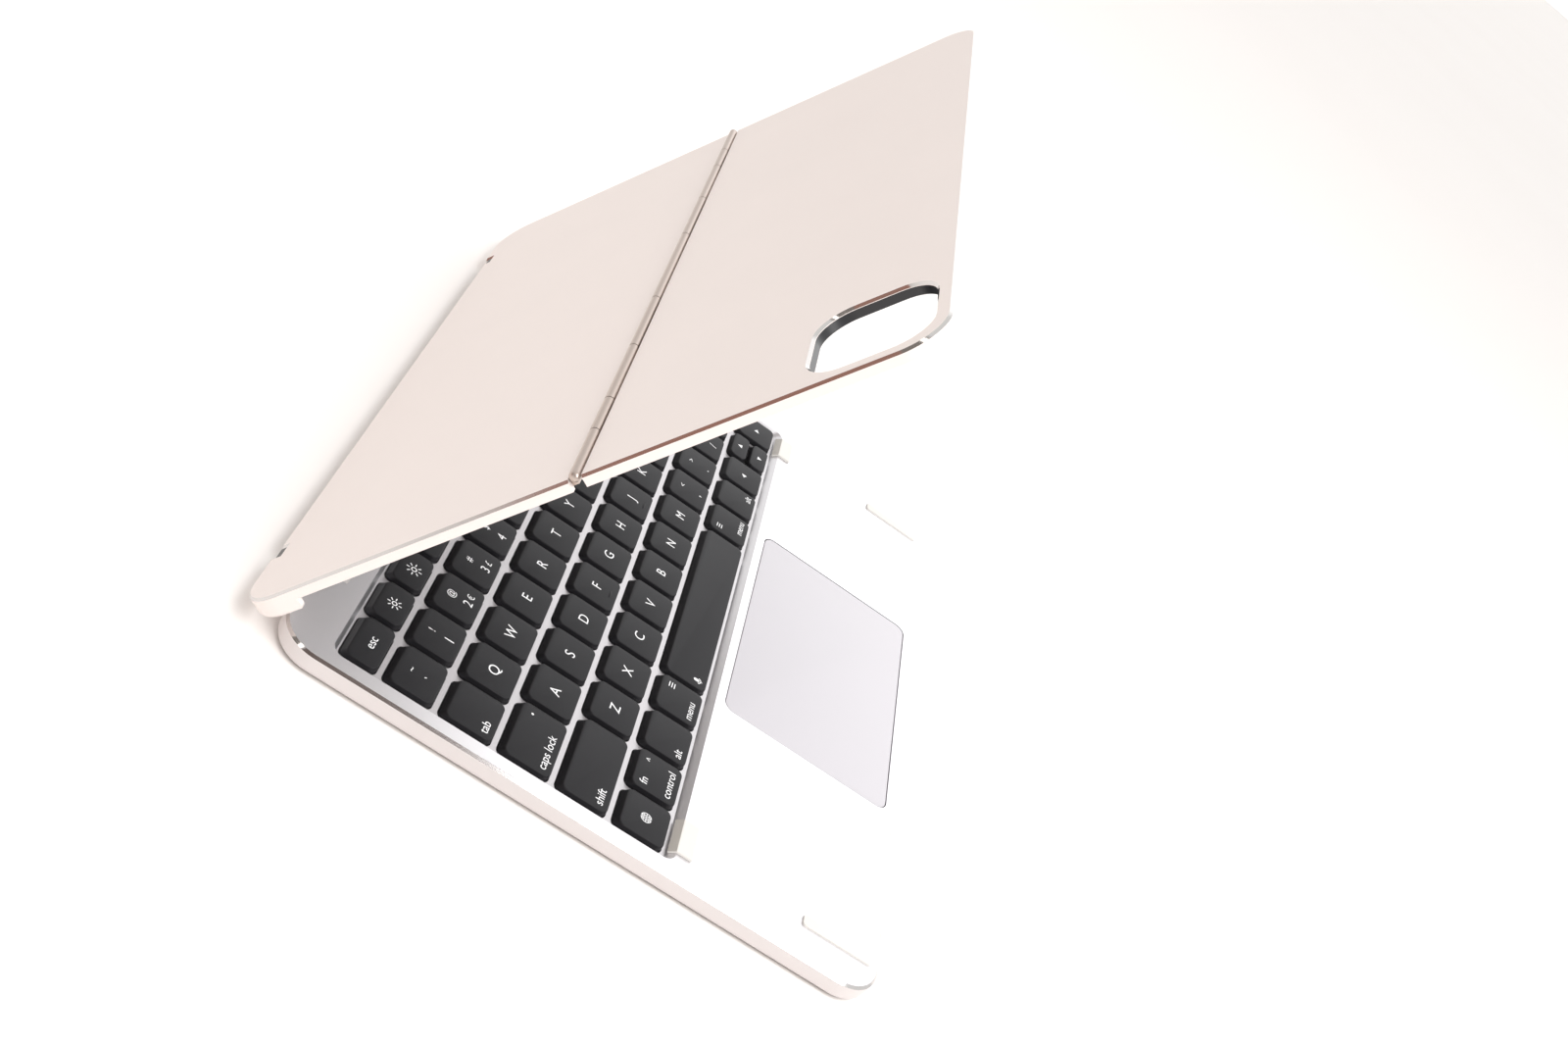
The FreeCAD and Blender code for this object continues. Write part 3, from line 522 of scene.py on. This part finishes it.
# Legends
# Letters, digits and small pictograms in white, printed on the caps. Each is a film a few hundredths of a
# millimetre thick, and it rides on its own key.

legend_white = (0.90, 0.90, 0.91)
film_height = 0.00002
film_sunk = 0.00001
letter_size = 0.0048
digit_size = 0.0042
small_size = 0.0031
word_size = 0.0036
edge_margin = 0.0017
stroke_width = 0.00032
icon_reach = 0.0016

letters = {
    "top_letter_keys": "QWERTYUIOP",
    "home_letter_keys": "ASDFGHJKL",
    "bottom_letter_keys": "ZXCVBNM",
}
pairs = {
    "number_keys": ["~`", "!1", "@2", "#3", "$4", "%5", "^6", "&7", "*8", "(9", ")0", "_-", "+="],
    "top_letter_keys": ["{[", "}]", "|\\"],
    "home_letter_keys": [":;", "\"'"],
    "bottom_letter_keys": ["<,", ">.", "?/"],
}
extra_digits = {2: "€", 3: "£"}
words = {
    "esc_key": ("esc", "middle"),
    "delete_key": ("delete", "front_right"),
    "tab_key": ("tab", "front_left"),
    "caps_lock_key": ("caps lock", "front_left"),
    "return_key": ("return", "front_right"),
    "left_shift_key": ("shift", "front_left"),
    "right_shift_key": ("shift", "front_right"),
    "control_key": ("control", "front_left"),
    "left_alt_key": ("alt", "front_left"),
    "left_system_key": ("menu", "front_left"),
    "right_system_key": ("menu", "front_right"),
    "right_alt_key": ("alt", "front_right"),
}


def spot(high, place, drop=0.0):
    """The point of a key's top for a place name, and which end of the word stands there."""
    x0, x1, y0, y1 = high
    cx = (x0 + x1) / 2
    cy = (y0 + y1) / 2
    places = {
        "middle": (cx, cy, "CENTER"),
        "rear": (cx, y1 - (y1 - y0) * 0.30, "CENTER"),
        "front": (cx, y0 + (y1 - y0) * 0.27, "CENTER"),
        "front_left": (x0 + edge_margin, y0 + edge_margin + drop, "LEFT"),
        "front_right": (x1 - edge_margin, y0 + edge_margin + drop, "RIGHT"),
        "rear_left": (x0 + edge_margin + icon_reach, y1 - edge_margin - icon_reach, "CENTER"),
        "rear_right": (x1 - edge_margin - icon_reach, y1 - edge_margin - icon_reach, "CENTER"),
    }
    return places[place]


def write(sheet, text, size, x, y, align="CENTER"):
    """Adds a piece of text to the sheet as a thin closed film, its middle or its end at x and y."""
    curve = bpy.data.curves.new("legend_text", "FONT")
    curve.body = text
    curve.size = size
    curve.align_x = align
    curve.align_y = "CENTER"
    curve.extrude = film_height / 2
    curve.resolution_u = 5
    holder = bpy.data.objects.new("legend_text", curve)
    bpy.context.scene.collection.objects.link(holder)
    mesh = bpy.data.meshes.new_from_object(holder.evaluated_get(bpy.context.evaluated_depsgraph_get()))
    bpy.data.objects.remove(holder)
    mesh.transform(Matrix.Translation((x, y, deck_level + film_height / 2 - film_sunk)))
    sheet.from_mesh(mesh)
    bpy.data.meshes.remove(mesh)


def stroke(sheet, x, y, points, closed=False, width=stroke_width):
    """A line of even width through the points: each point moved half the width to both sides along the
    mean of its two directions turned by a right angle, then given the film's height."""
    path = np.asarray(points, float)
    ahead = np.roll(path, -1, axis=0) - path
    behind = path - np.roll(path, 1, axis=0)
    if not closed:
        ahead[-1] = behind[-1]
        behind[0] = ahead[0]
    along = ahead / np.linalg.norm(ahead, axis=1)[:, None] + behind / np.linalg.norm(behind, axis=1)[:, None]
    along /= np.linalg.norm(along, axis=1)[:, None]
    aside = np.stack([-along[:, 1], along[:, 0]], axis=1) * width / 2
    count = len(path)
    left = path + aside + (x, y)
    right = path - aside + (x, y)
    under = deck_level - film_sunk
    over = under + film_height
    flat = [np.column_stack([side, np.full(count, z)]) for z in (under, over) for side in (left, right)]
    vertices = [sheet.verts.new(p) for p in np.concatenate(flat)]
    last = count if closed else count - 1
    for i in range(last):
        j = (i + 1) % count
        corners = ((2, i), (3, i), (3, j), (2, j)), ((0, i), (0, j), (1, j), (1, i)), \
                  ((0, i), (2, i), (2, j), (0, j)), ((1, i), (1, j), (3, j), (3, i))
        for face in corners:
            sheet.faces.new([vertices[row * count + k] for row, k in face])
    if not closed:
        for k, order in ((0, (0, 1, 3, 2)), (count - 1, (0, 2, 3, 1))):
            sheet.faces.new([vertices[row * count + k] for row in order])


def patch(sheet, x, y, points):
    """A filled shape: its outline, which runs anticlockwise, given the film's height."""
    path = np.asarray(points, float) + (x, y)
    count = len(path)
    under = deck_level - film_sunk
    levels = [[sheet.verts.new((*p, z)) for p in path] for z in (under, under + film_height)]
    sheet.faces.new(levels[0][::-1])
    sheet.faces.new(levels[1])
    for i in range(count):
        j = (i + 1) % count
        sheet.faces.new([levels[0][i], levels[0][j], levels[1][j], levels[1][i]])


def arc(cx, cy, rx, ry, start, end, count):
    """Points on an ellipse: centre plus (rx cos a, ry sin a), with a from start to end in degrees."""
    a = np.radians(np.linspace(start, end, count))
    return np.stack([cx + rx * np.cos(a), cy + ry * np.sin(a)], axis=1)


def sun(sheet, x, y, size):
    r = icon_reach * size
    stroke(sheet, x, y, arc(0, 0, r * 0.32, r * 0.32, 0, 330, 12), closed=True)
    for a in np.radians(np.arange(0, 360, 45)):
        way = np.array([math.cos(a), math.sin(a)])
        stroke(sheet, x, y, [way * r * 0.58, way * r])


def windows(sheet, x, y):
    r = icon_reach
    stroke(sheet, x, y, [(-r, -r * 0.6), (-r * 0.1, -r * 0.6), (-r * 0.1, r * 0.6), (-r, r * 0.6)], True)
    for low in (-0.6, 0.15):
        stroke(sheet, x, y, [(r * 0.25, r * low), (r, r * low), (r, r * (low + 0.45)),
                             (r * 0.25, r * (low + 0.45))], True)


def lens(sheet, x, y):
    r = icon_reach
    stroke(sheet, x, y, arc(-r * 0.15, r * 0.15, r * 0.6, r * 0.6, 0, 340, 18), True)
    stroke(sheet, x, y, [(r * 0.3, -r * 0.3), (r * 0.9, -r * 0.9)], width=stroke_width * 1.4)


def key_lamp(sheet, x, y):
    r = icon_reach
    stroke(sheet, x, y, arc(0, -r * 0.2, r * 0.4, r * 0.4, 0, 180, 10))
    stroke(sheet, x, y, [(-r * 0.9, -r * 0.55), (r * 0.9, -r * 0.55)])
    for a in np.radians((20, 55, 90, 125, 160)):
        way = np.array([math.cos(a), math.sin(a)])
        stroke(sheet, x, y - r * 0.2, [way * r * 0.65, way * r * 0.95])


def moon(sheet, x, y):
    r = icon_reach * 0.85
    outer = arc(0, 0, r, r, 60, 330, 20)
    inner = arc(r * 0.45, r * 0.26, r * 0.80, r * 0.80, 294, 96, 12)
    patch(sheet, x, y, np.concatenate([outer, inner]))


def triangle(sheet, x, y, turn, size):
    a = np.radians(np.array([0, 120, 240]) + turn)
    patch(sheet, x, y, np.stack([np.cos(a), np.sin(a)], axis=1) * size)


def skip(sheet, x, y, turn):
    side = 1 if turn == 0 else -1
    triangle(sheet, x - side * icon_reach * 0.45, y, turn, icon_reach * 0.55)
    triangle(sheet, x + side * icon_reach * 0.40, y, turn, icon_reach * 0.55)


def play(sheet, x, y):
    triangle(sheet, x - icon_reach * 0.5, y, 0, icon_reach * 0.6)
    for shift in (0.35, 0.75):
        stroke(sheet, x + icon_reach * shift, y, [(0, -icon_reach * 0.5), (0, icon_reach * 0.5)])


def speaker(sheet, x, y, waves):
    r = icon_reach
    patch(sheet, x - r * 0.35, y, [(-r * 0.5, -r * 0.25), (-r * 0.15, -r * 0.25), (r * 0.3, -r * 0.65),
                                   (r * 0.3, r * 0.65), (-r * 0.15, r * 0.25), (-r * 0.5, r * 0.25)])
    for wave in range(waves):
        reach = r * (0.35 + 0.3 * wave)
        stroke(sheet, x, y, arc(0, 0, reach, reach, -45, 45, 8))


def padlock(sheet, x, y):
    r = icon_reach
    patch(sheet, x, y, [(-r * 0.6, -r * 0.8), (r * 0.6, -r * 0.8), (r * 0.6, r * 0.1), (-r * 0.6, r * 0.1)])
    stroke(sheet, x, y, arc(0, r * 0.1, r * 0.38, r * 0.7, 0, 180, 12))


def globe(sheet, x, y):
    r = icon_reach
    stroke(sheet, x, y, arc(0, 0, r, r, 0, 345, 24), True, stroke_width * 0.8)
    stroke(sheet, x, y, arc(0, 0, r * 0.45, r, 0, 345, 24), True, stroke_width * 0.8)
    stroke(sheet, x, y, [(0, -r), (0, r)], width=stroke_width * 0.8)
    for level in (-0.5, 0.0, 0.5):
        half = r * math.sqrt(1 - level * level)
        stroke(sheet, x, y, [(-half, r * level), (half, r * level)], width=stroke_width * 0.8)


def microphone(sheet, x, y):
    r = icon_reach
    outline = np.concatenate([arc(0, r * 0.45, r * 0.38, r * 0.38, 0, 180, 10),
                              arc(0, -r * 0.05, r * 0.38, r * 0.38, 180, 360, 10)])
    patch(sheet, x, y, outline)
    stroke(sheet, x, y, arc(0, -r * 0.05, r * 0.68, r * 0.68, 190, 350, 12))
    stroke(sheet, x, y, [(0, -r * 0.7), (0, -r * 1.05)])


def three_lines(sheet, x, y):
    for level in (-0.55, 0.0, 0.55):
        stroke(sheet, x, y, [(-icon_reach * 0.7, icon_reach * level), (icon_reach * 0.7, icon_reach * level)])


def draw_icons(node, index, sheet, x, y):
    """The pictogram of a function key, by its number from the left."""
    drawings = (
        lambda: sun(sheet, x, y, 1.35), lambda: sun(sheet, x, y, 1.5), lambda: windows(sheet, x, y),
        lambda: lens(sheet, x, y), lambda: key_lamp(sheet, x, y), lambda: moon(sheet, x, y),
        lambda: skip(sheet, x, y, 180), lambda: play(sheet, x, y), lambda: skip(sheet, x, y, 0),
        lambda: speaker(sheet, x, y, 0), lambda: speaker(sheet, x, y, 1), lambda: speaker(sheet, x, y, 2),
    )
    drawings[index]()


def print_keys(node, faces, sheet):
    """Everything that is printed on one node's keys, from left to right."""
    single = letters.get(node, "")
    double = pairs.get(node, [])
    for index, high in enumerate(faces):
        middle = spot(high, "middle")
        if node == "function_keys":
            draw_icons(node, index, sheet, *middle[:2])
        elif index < len(single):
            write(sheet, single[index], letter_size, *middle)
        elif index - len(single) < len(double):
            upper, lower = double[index - len(single)]
            write(sheet, upper, small_size, *spot(high, "rear"))
            x, y, align = spot(high, "front")
            extra = extra_digits.get(index) if node == "number_keys" else None
            if extra:
                write(sheet, extra, small_size, x + digit_size * 0.72, y, align)
            write(sheet, lower, digit_size, x, y, align)
    if node in words:
        text, place = words[node]
        size = word_size
        write(sheet, text, size, *spot(faces[0], place, size * 0.35 if place != "middle" else 0.0))
    if node == "lock_key":
        padlock(sheet, *spot(faces[0], "middle")[:2])
    if node == "fn_key":
        globe(sheet, *spot(faces[0], "middle")[:2])
    if node == "control_key":
        write(sheet, "fn", word_size, *spot(faces[0], "rear_left"))
        write(sheet, "^", small_size, *spot(faces[0], "rear_right"))
    if node in ("left_system_key", "right_system_key"):
        three_lines(sheet, *spot(faces[0], "rear_right" if node.startswith("left") else "rear_left")[:2])
    if node == "space_key":
        x, y, align = spot(faces[0], "front_left")
        microphone(sheet, x + icon_reach, y + icon_reach)
    if node == "caps_lock_key":
        x, y, align = spot(faces[0], "rear_right")
        patch(sheet, x, y, arc(0, 0, 0.0004, 0.0004, 0, 330, 12))
    if node.endswith("arrow_key"):
        turn = {"left": 180, "up": 90, "down": 270, "right": 0}[node.split("_")[0]]
        triangle(sheet, *spot(faces[0], "middle")[:2], turn, icon_reach * 0.75)


legend_finish = finish("legend_white", legend_white, 0.0, 0.5, tone=0.02)
for key_node in sorted(key_nodes):
    legend_sheet = bmesh.new()
    print_keys(key_node, key_faces[key_node], legend_sheet)
    if len(legend_sheet.faces):
        legend_mesh = bpy.data.meshes.new(key_node + "_legend")
        legend_sheet.to_mesh(legend_mesh)
        legend_mesh.materials.clear()
        legend_mesh.materials.append(legend_finish)
        legend_piece = bpy.data.objects.new(key_node + "_legend", legend_mesh)
        bpy.context.scene.collection.objects.link(legend_piece)
        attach(legend_piece, key_node + "_body")
    legend_sheet.free()


# Trackpad
# A pane of etched glass, pale lavender grey, with ground edges. It lies in its tray a hair below the deck
# and goes down by a quarter of a millimetre on the switch at its front.

glass_tone = (0.565, 0.545, 0.575)
glass_corner = 0.0035
glass_round = 0.0002


def slab_rings(low, high, radius, round_over, steps=10, under=None):
    """A slab with round corners whose upper edge, and lower edge if `under` is given, rolls over by an arc of
    the given radius: inset = r (1 - cos a), height = r sin a."""
    rings = []
    for angle in np.linspace(math.pi / 2, 0, 4) if under else [0.0]:
        inset = (under or 0.0) * (1 - math.cos(angle))
        z = low[2] + (under or 0.0) * (1 - math.sin(angle))
        rings.append(ring(low[0] + inset, high[0] - inset, low[1] + inset, high[1] - inset, radius - inset, z,
                          steps))
    for angle in np.linspace(0, math.pi / 2, 5):
        inset = round_over * (1 - math.cos(angle))
        z = high[2] - round_over * (1 - math.sin(angle))
        rings.append(ring(low[0] + inset, high[0] - inset, low[1] + inset, high[1] - inset, radius - inset, z,
                          steps))
    return rings


def make_glass():
    low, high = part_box("trackpad_glass")
    rings = slab_rings(low, high, glass_corner, glass_round, under=glass_round)
    material = finish("etched_glass", glass_tone, 0.0, 0.32, tone=0.02, spread=0.06, patch=22, grain=8000,
                      depth=1e-6, Specular_IOR_Level=0.5)
    piece = put("trackpad_pane", np.concatenate(rings), stacked(rings), material)
    piece.data.set_sharp_from_angle(angle=math.radians(40))
    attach(piece, "trackpad")
    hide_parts("trackpad_glass")


make_glass()
dress("trackpad_bracket", finish("tray_steel", (0.33, 0.33, 0.34), 1.0, 0.42))
dress("trackpad_switch", finish("switch_black", (0.03, 0.03, 0.032), 0.0, 0.45))


# Battery, board and cable
# Two foil pouch cells in dark wrap, a small green board with two chips, and the flat amber cable that joins
# them to the sheets under the keys. All lie inside the palm rest, fixed with film.

dress("battery_cells", finish("cell_wrap", (0.09, 0.09, 0.10), 0.0, 0.38, tone=0.12, patch=60))
dress("main_board", finish("board_green", (0.02, 0.12, 0.05), 0.0, 0.38, tone=0.35, patch=240, grain=1800,
                           depth=2e-5))
dress("flat_cable", finish("amber_film", (0.48, 0.19, 0.03), 0.0, 0.3, tone=0.12))


# Charging socket
# A drawn steel shell with a tongue in it, which carries six gilt contacts on each side. It opens on the
# right side of the case.

contact_count = 6
contact_size = (0.0034, 0.00035, 0.00006)


def block(low, high):
    """The eight corners and six faces of a box."""
    x0, y0, z0 = low
    x1, y1, z1 = high
    points = [(x0, y0, z0), (x1, y0, z0), (x1, y1, z0), (x0, y1, z0),
              (x0, y0, z1), (x1, y0, z1), (x1, y1, z1), (x0, y1, z1)]
    faces = [(3, 2, 1, 0), (4, 5, 6, 7), (0, 1, 5, 4), (1, 2, 6, 5), (2, 3, 7, 6), (3, 0, 4, 7)]
    return points, faces


def make_contacts():
    low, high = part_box("charging_socket")
    tongue_width = 0.0068
    tongue_half = 0.00035
    middle = (low.y + high.y) / 2
    level = (low.z + high.z) / 2
    length, breadth, height = contact_size
    tip = high.x - 0.0014
    points = []
    faces = []
    for index in range(contact_count):
        y = middle + tongue_width * ((index + 0.5) / contact_count - 0.5)
        for side in (-1, 1):
            z = level + side * tongue_half
            corners, sides = block((tip - length, y - breadth, z - height / 2),
                                   (tip, y + breadth, z + height / 2))
            faces += [[len(points) + k for k in side_face] for side_face in sides]
            points += corners
    piece = put("socket_contacts", points, faces, finish("contact_gilt", (0.95, 0.68, 0.26), 1.0, 0.2),
                smooth=False)
    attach(piece, "base")


make_contacts()
dress("charging_socket", finish("socket_steel", (0.58, 0.57, 0.56), 1.0, 0.25))


# Power slider
# A small moulded slide on the right side with four grip ribs, which moves to the rear by two and a half
# millimetres, and the black switch that it pushes.

rib_count = 4
rib_depth = 0.00022


def make_slider():
    """The slide's outline seen from above, carried up its height. The outer side is a row of ribs:
    x = x1 - depth (1 - |sin|) along y, flat over the ends."""
    low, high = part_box("power_slider")
    steps = 41
    y = np.linspace(low.y, high.y, steps)
    share = (y - low.y) / (high.y - low.y)
    wave = np.abs(np.sin(share * rib_count * math.pi)) ** 0.5
    x = high.x - rib_depth * (1 - wave)
    outline = np.concatenate([[(low.x, high.y), (low.x, low.y)], np.stack([x, y], axis=1)])
    rings = [np.column_stack([outline, np.full(len(outline), z)]) for z in (low.z, high.z)]
    piece = put("power_slide", np.concatenate(rings), stacked(rings),
                finish("slide_grey", (0.10, 0.10, 0.105), 0.0, 0.45), smooth=False)
    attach(piece, "slider")
    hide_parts("power_slider")


make_slider()
dress("slider_switch", finish("switch_body", (0.035, 0.035, 0.038), 0.0, 0.42))


# Feet, palm pads and corner bumpers
# Soft cast rubber. Two long pads by the palm rest and two blocks over the well's front corners keep the
# tablet off the metal when the lid is shut; four feet under the case keep it from sliding.

# The first cream below is painted shade, laid on the corner bumpers' sloped faces; the pale one is the rubber's
# own colour, on the palm pads and the bumpers' tops.
bumper_slope_shade_cream = (0.47, 0.44, 0.405)
pad_pale = (0.74, 0.72, 0.68)
foot_grey = (0.30, 0.29, 0.285)


def make_cushions(node, name, material, round_over, under):
    """Slabs with rolled edges in the boxes of the node's solids."""
    points = []
    faces = []
    for solid in solids_of(node):
        low, high = solid.min(0), solid.max(0)
        radius = round_radius(node, low, high)
        rings = slab_rings(low, high, radius, round_over, 9, under)
        faces += stacked(rings, len(points))
        points += np.concatenate(rings).tolist()
    piece = put(name, points, faces, material)
    piece.data.set_sharp_from_angle(angle=math.radians(50))
    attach(piece, "base")
    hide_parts(node)


def round_radius(node, low, high):
    """Feet have fully round ends, and the palm pads a small corner."""
    short = min(high[0] - low[0], high[1] - low[1])
    return short / 2 - 1e-5 if node == "rubber_feet" else short / 4


# The corner bumpers are pale rubber, with a darker cream on their sloped faces that is painted shade.
bumper_finish_with_painted_shade = with_facet_tint(finish("bumper_rubber_with_painted_shade", pad_pale, 0.0, 0.5, tone=0.03, grain=5000), (0, 0, 1), bumper_slope_shade_cream,
                      0.5, 0.0)
palm_finish = finish("pad_pale_rubber", pad_pale, 0.0, 0.5, tone=0.03, grain=5000)
foot_finish = finish("foot_rubber", foot_grey, 0.0, 0.75, tone=0.1, grain=2600, depth=1e-5)
make_cushions("palm_pads", "palm_rest_pads", palm_finish, 0.00018, None)
make_cushions("rubber_feet", "case_feet", foot_finish, 0.0001, 0.00045)


def rounded_copy(node, name, material, width, segments=3):
    """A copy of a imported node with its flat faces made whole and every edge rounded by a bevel."""
    piece = put(name, *node_points(node), material)
    sheet = bmesh.new()
    sheet.from_mesh(piece.data)
    bmesh.ops.dissolve_limit(sheet, angle_limit=math.radians(0.5), verts=sheet.verts, edges=sheet.edges)
    sheet.to_mesh(piece.data)
    sheet.free()
    bevel = piece.modifiers.new("rounded_edges", "BEVEL")
    bevel.width = width
    bevel.segments = segments
    bevel.limit_method = "ANGLE"
    bevel.angle_limit = math.radians(20)
    bevel.harden_normals = True
    return piece


bumper_piece = rounded_copy("corner_bumpers", "well_bumpers", bumper_finish_with_painted_shade, 0.00022)
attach(bumper_piece, "base")
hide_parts("corner_bumpers")


# Screws
# Steel screws with a six-lobed socket. Eight hold the tub to the deck from below, four hold the hinge
# housings and four the spine.

socket_radius = 0.00078
socket_lobe = 0.00014
socket_depth = 0.00028
screw_sides = 48


def make_screws(node, name, body, axis):
    """One lathe-turned screw for each solid: rings about its axis with radius r and height h from the head's
    face. In the socket the radius is r + lobe cos 6a."""
    out = Vector(axis).normalized()
    side = Vector((1, 0, 0))
    up = out.cross(side)
    basis = np.array([side, up, out])
    a = np.linspace(0, 2 * math.pi, screw_sides, endpoint=False)
    points = []
    faces = []
    for solid in solids_of(node):
        local = solid @ basis.T
        centre = (local.min(0) + local.max(0)) / 2
        face = local[:, 2].max()
        tip = local[:, 2].min()
        reach = np.linalg.norm(local[:, :2] - centre[:2], axis=1)
        head = reach.max()
        shank = reach[local[:, 2] < tip + 1e-5].max()
        step = local[(reach > head - 1e-5), 2].min()
        levels = ((shank, tip, 0), (shank, step, 0), (head, step, 0), (head, face - head * 0.08, 0),
                  (head * 0.92, face, 0), (socket_radius, face, socket_lobe),
                  (socket_radius, face - socket_depth, socket_lobe))
        rings = []
        for radius, height, lobe in levels:
            r = radius + lobe * np.cos(6 * a)
            ring_points = np.stack([centre[0] + r * np.cos(a), centre[1] + r * np.sin(a),
                                    np.full(screw_sides, height)], axis=1)
            rings.append(ring_points @ basis)
        faces += stacked(rings, len(points))
        points += np.concatenate(rings).tolist()
    piece = put(name, points, faces, screw_finish)
    piece.data.set_sharp_from_angle(angle=math.radians(35))
    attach(piece, body)
    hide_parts(node)


screw_finish = finish("screw_steel", (0.50, 0.50, 0.51), 1.0, 0.28, tone=0.1, grain=2500)
lid_out = Vector((0, math.sin(math.radians(61.9)), math.cos(math.radians(61.9))))
make_screws("case_screws", "case_fasteners", "base", (0, 0, -1))
make_screws("hinge_screws", "housing_fasteners", "base", (0, 0, 1))
make_screws("spine_screws", "spine_fasteners", "lower_lid", -lid_out)


# Main hinge
# A barrel on the lid's thick rear end turns between two housings screwed into the case. Steel shafts run
# through split friction clips, which hold the lid at any angle.

barrel_metal = (0.70, 0.655, 0.625)
hinge_finish = finish("hinge_metal", barrel_metal, 0.9, 0.34, grain=4000)
for hinge_node, hinge_body in (("hinge_housings", "base"), ("lid_spine", "lower_lid")):
    hinge_piece = smooth_copy(hinge_node, hinge_node + "_smooth", hinge_finish)
    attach(hinge_piece, hinge_body)
    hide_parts(hinge_node)
dress("hinge_shafts", finish("shaft_steel", (0.55, 0.55, 0.56), 1.0, 0.2))
dress("friction_clips", finish("clip_steel", (0.42, 0.41, 0.40), 1.0, 0.3))


# Lid leaves
# Two thin aluminium plates, blasted and anodised the same cream as the tub, with a bright cut round their
# outer edges and round the camera's opening. The lower one has a thick rear end.

lid_cream = (0.84, 0.766, 0.733)
lid_finish = with_facet_tint(finish("cream_anodised_lid", lid_cream, 0.25, 0.50, spread=0.06), lid_out, cut_metal,
                      0.12)
for leaf_node, leaf_body in (("lower_panel", "lower_lid"), ("upper_panel", "upper_lid")):
    leaf_piece = smooth_copy(leaf_node, leaf_node + "_smooth", lid_finish)
    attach(leaf_piece, leaf_body)
    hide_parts(leaf_node)


# Black blocks in the rear slots
# Black blocks that fill the two slots in the lid's rear edge, a little below the face: painted shade for the dark
# inside of the slots.

# This black serves the ring in the camera's opening, which is its own colour, and the slot blocks, where it is
# painted shade.
rim_and_slot_shade_black = finish("black_rim_and_slot_shade", (0.012, 0.012, 0.014), 0.0, 0.3)
slot_inner = 0.09675
slot_outer = 0.10155
slot_from_axis = (0.00315, 0.00505)
slot_block_levels = (0.0094, 0.0112)


def make_slot_shade_blocks():
    """Two blocks drawn with the lid shut, as distances from the hinge's axis, and then turned back about it
    to the angle that the lid stands open at: y cos t + z sin t, z cos t - y sin t."""
    points = []
    faces = []
    for side in (-1, 1):
        ends = sorted((side * slot_inner, side * slot_outer))
        corners, sides = block((ends[0], slot_from_axis[0], slot_block_levels[0]),
                               (ends[1], slot_from_axis[1], slot_block_levels[1]))
        faces += [[len(points) + k for k in side_face] for side_face in sides]
        points += [(x, y * lid_out.z + z * lid_out.y + hinge_y, z * lid_out.z - y * lid_out.y + hinge_z)
                   for x, y, z in corners]
    piece = put("rear_slot_shade_blocks", points, faces, rim_and_slot_shade_black, smooth=False)
    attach(piece, "lower_lid")


shaft_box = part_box("hinge_shafts")
hinge_y = (shaft_box[0].y + shaft_box[1].y) / 2
hinge_z = (shaft_box[0].z + shaft_box[1].z) / 2
make_slot_shade_blocks()


# Linings, magnets and the rim of the camera's opening
# A soft pale grey sheet is glued over the magnets inside each leaf, where the tablet rests. A moulded black
# ring lines the opening.

lining_tone = (0.42, 0.405, 0.395)
lining_finish = finish("soft_lining", lining_tone, 0.0, 0.85, tone=0.12, patch=90, grain=2600, depth=1.5e-5,
                       Sheen_Weight=0.15)
for lining_node in ("lower_lining", "upper_lining"):
    dress(lining_node, lining_finish)
magnet_finish = finish("magnet_nickel", (0.60, 0.59, 0.57), 1.0, 0.2)
for magnet_node in ("lower_magnets", "tablet_magnets"):
    dress(magnet_node, magnet_finish)
rim_piece = smooth_copy("camera_rim", "camera_opening_rim", rim_and_slot_shade_black)
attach(rim_piece, "upper_lid")
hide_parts("camera_rim")


# Middle hinge
# A thin turned barrel in nine lengths that belong to the lower and the upper leaf by turns, on one steel
# pin. It has the warm tone of bare metal, polished.

knuckle_metal = (0.50, 0.42, 0.375)
knuckle_finish = finish("knuckle_metal", knuckle_metal, 1.0, 0.32, grain=3000)
for knuckle_node, knuckle_body in (("lower_knuckles", "lower_lid"), ("upper_knuckles", "upper_lid")):
    knuckle_piece = smooth_copy(knuckle_node, knuckle_node + "_smooth", knuckle_finish)
    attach(knuckle_piece, knuckle_body)
    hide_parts(knuckle_node)
dress("middle_hinge_pin", finish("pin_steel", (0.55, 0.55, 0.56), 1.0, 0.2))
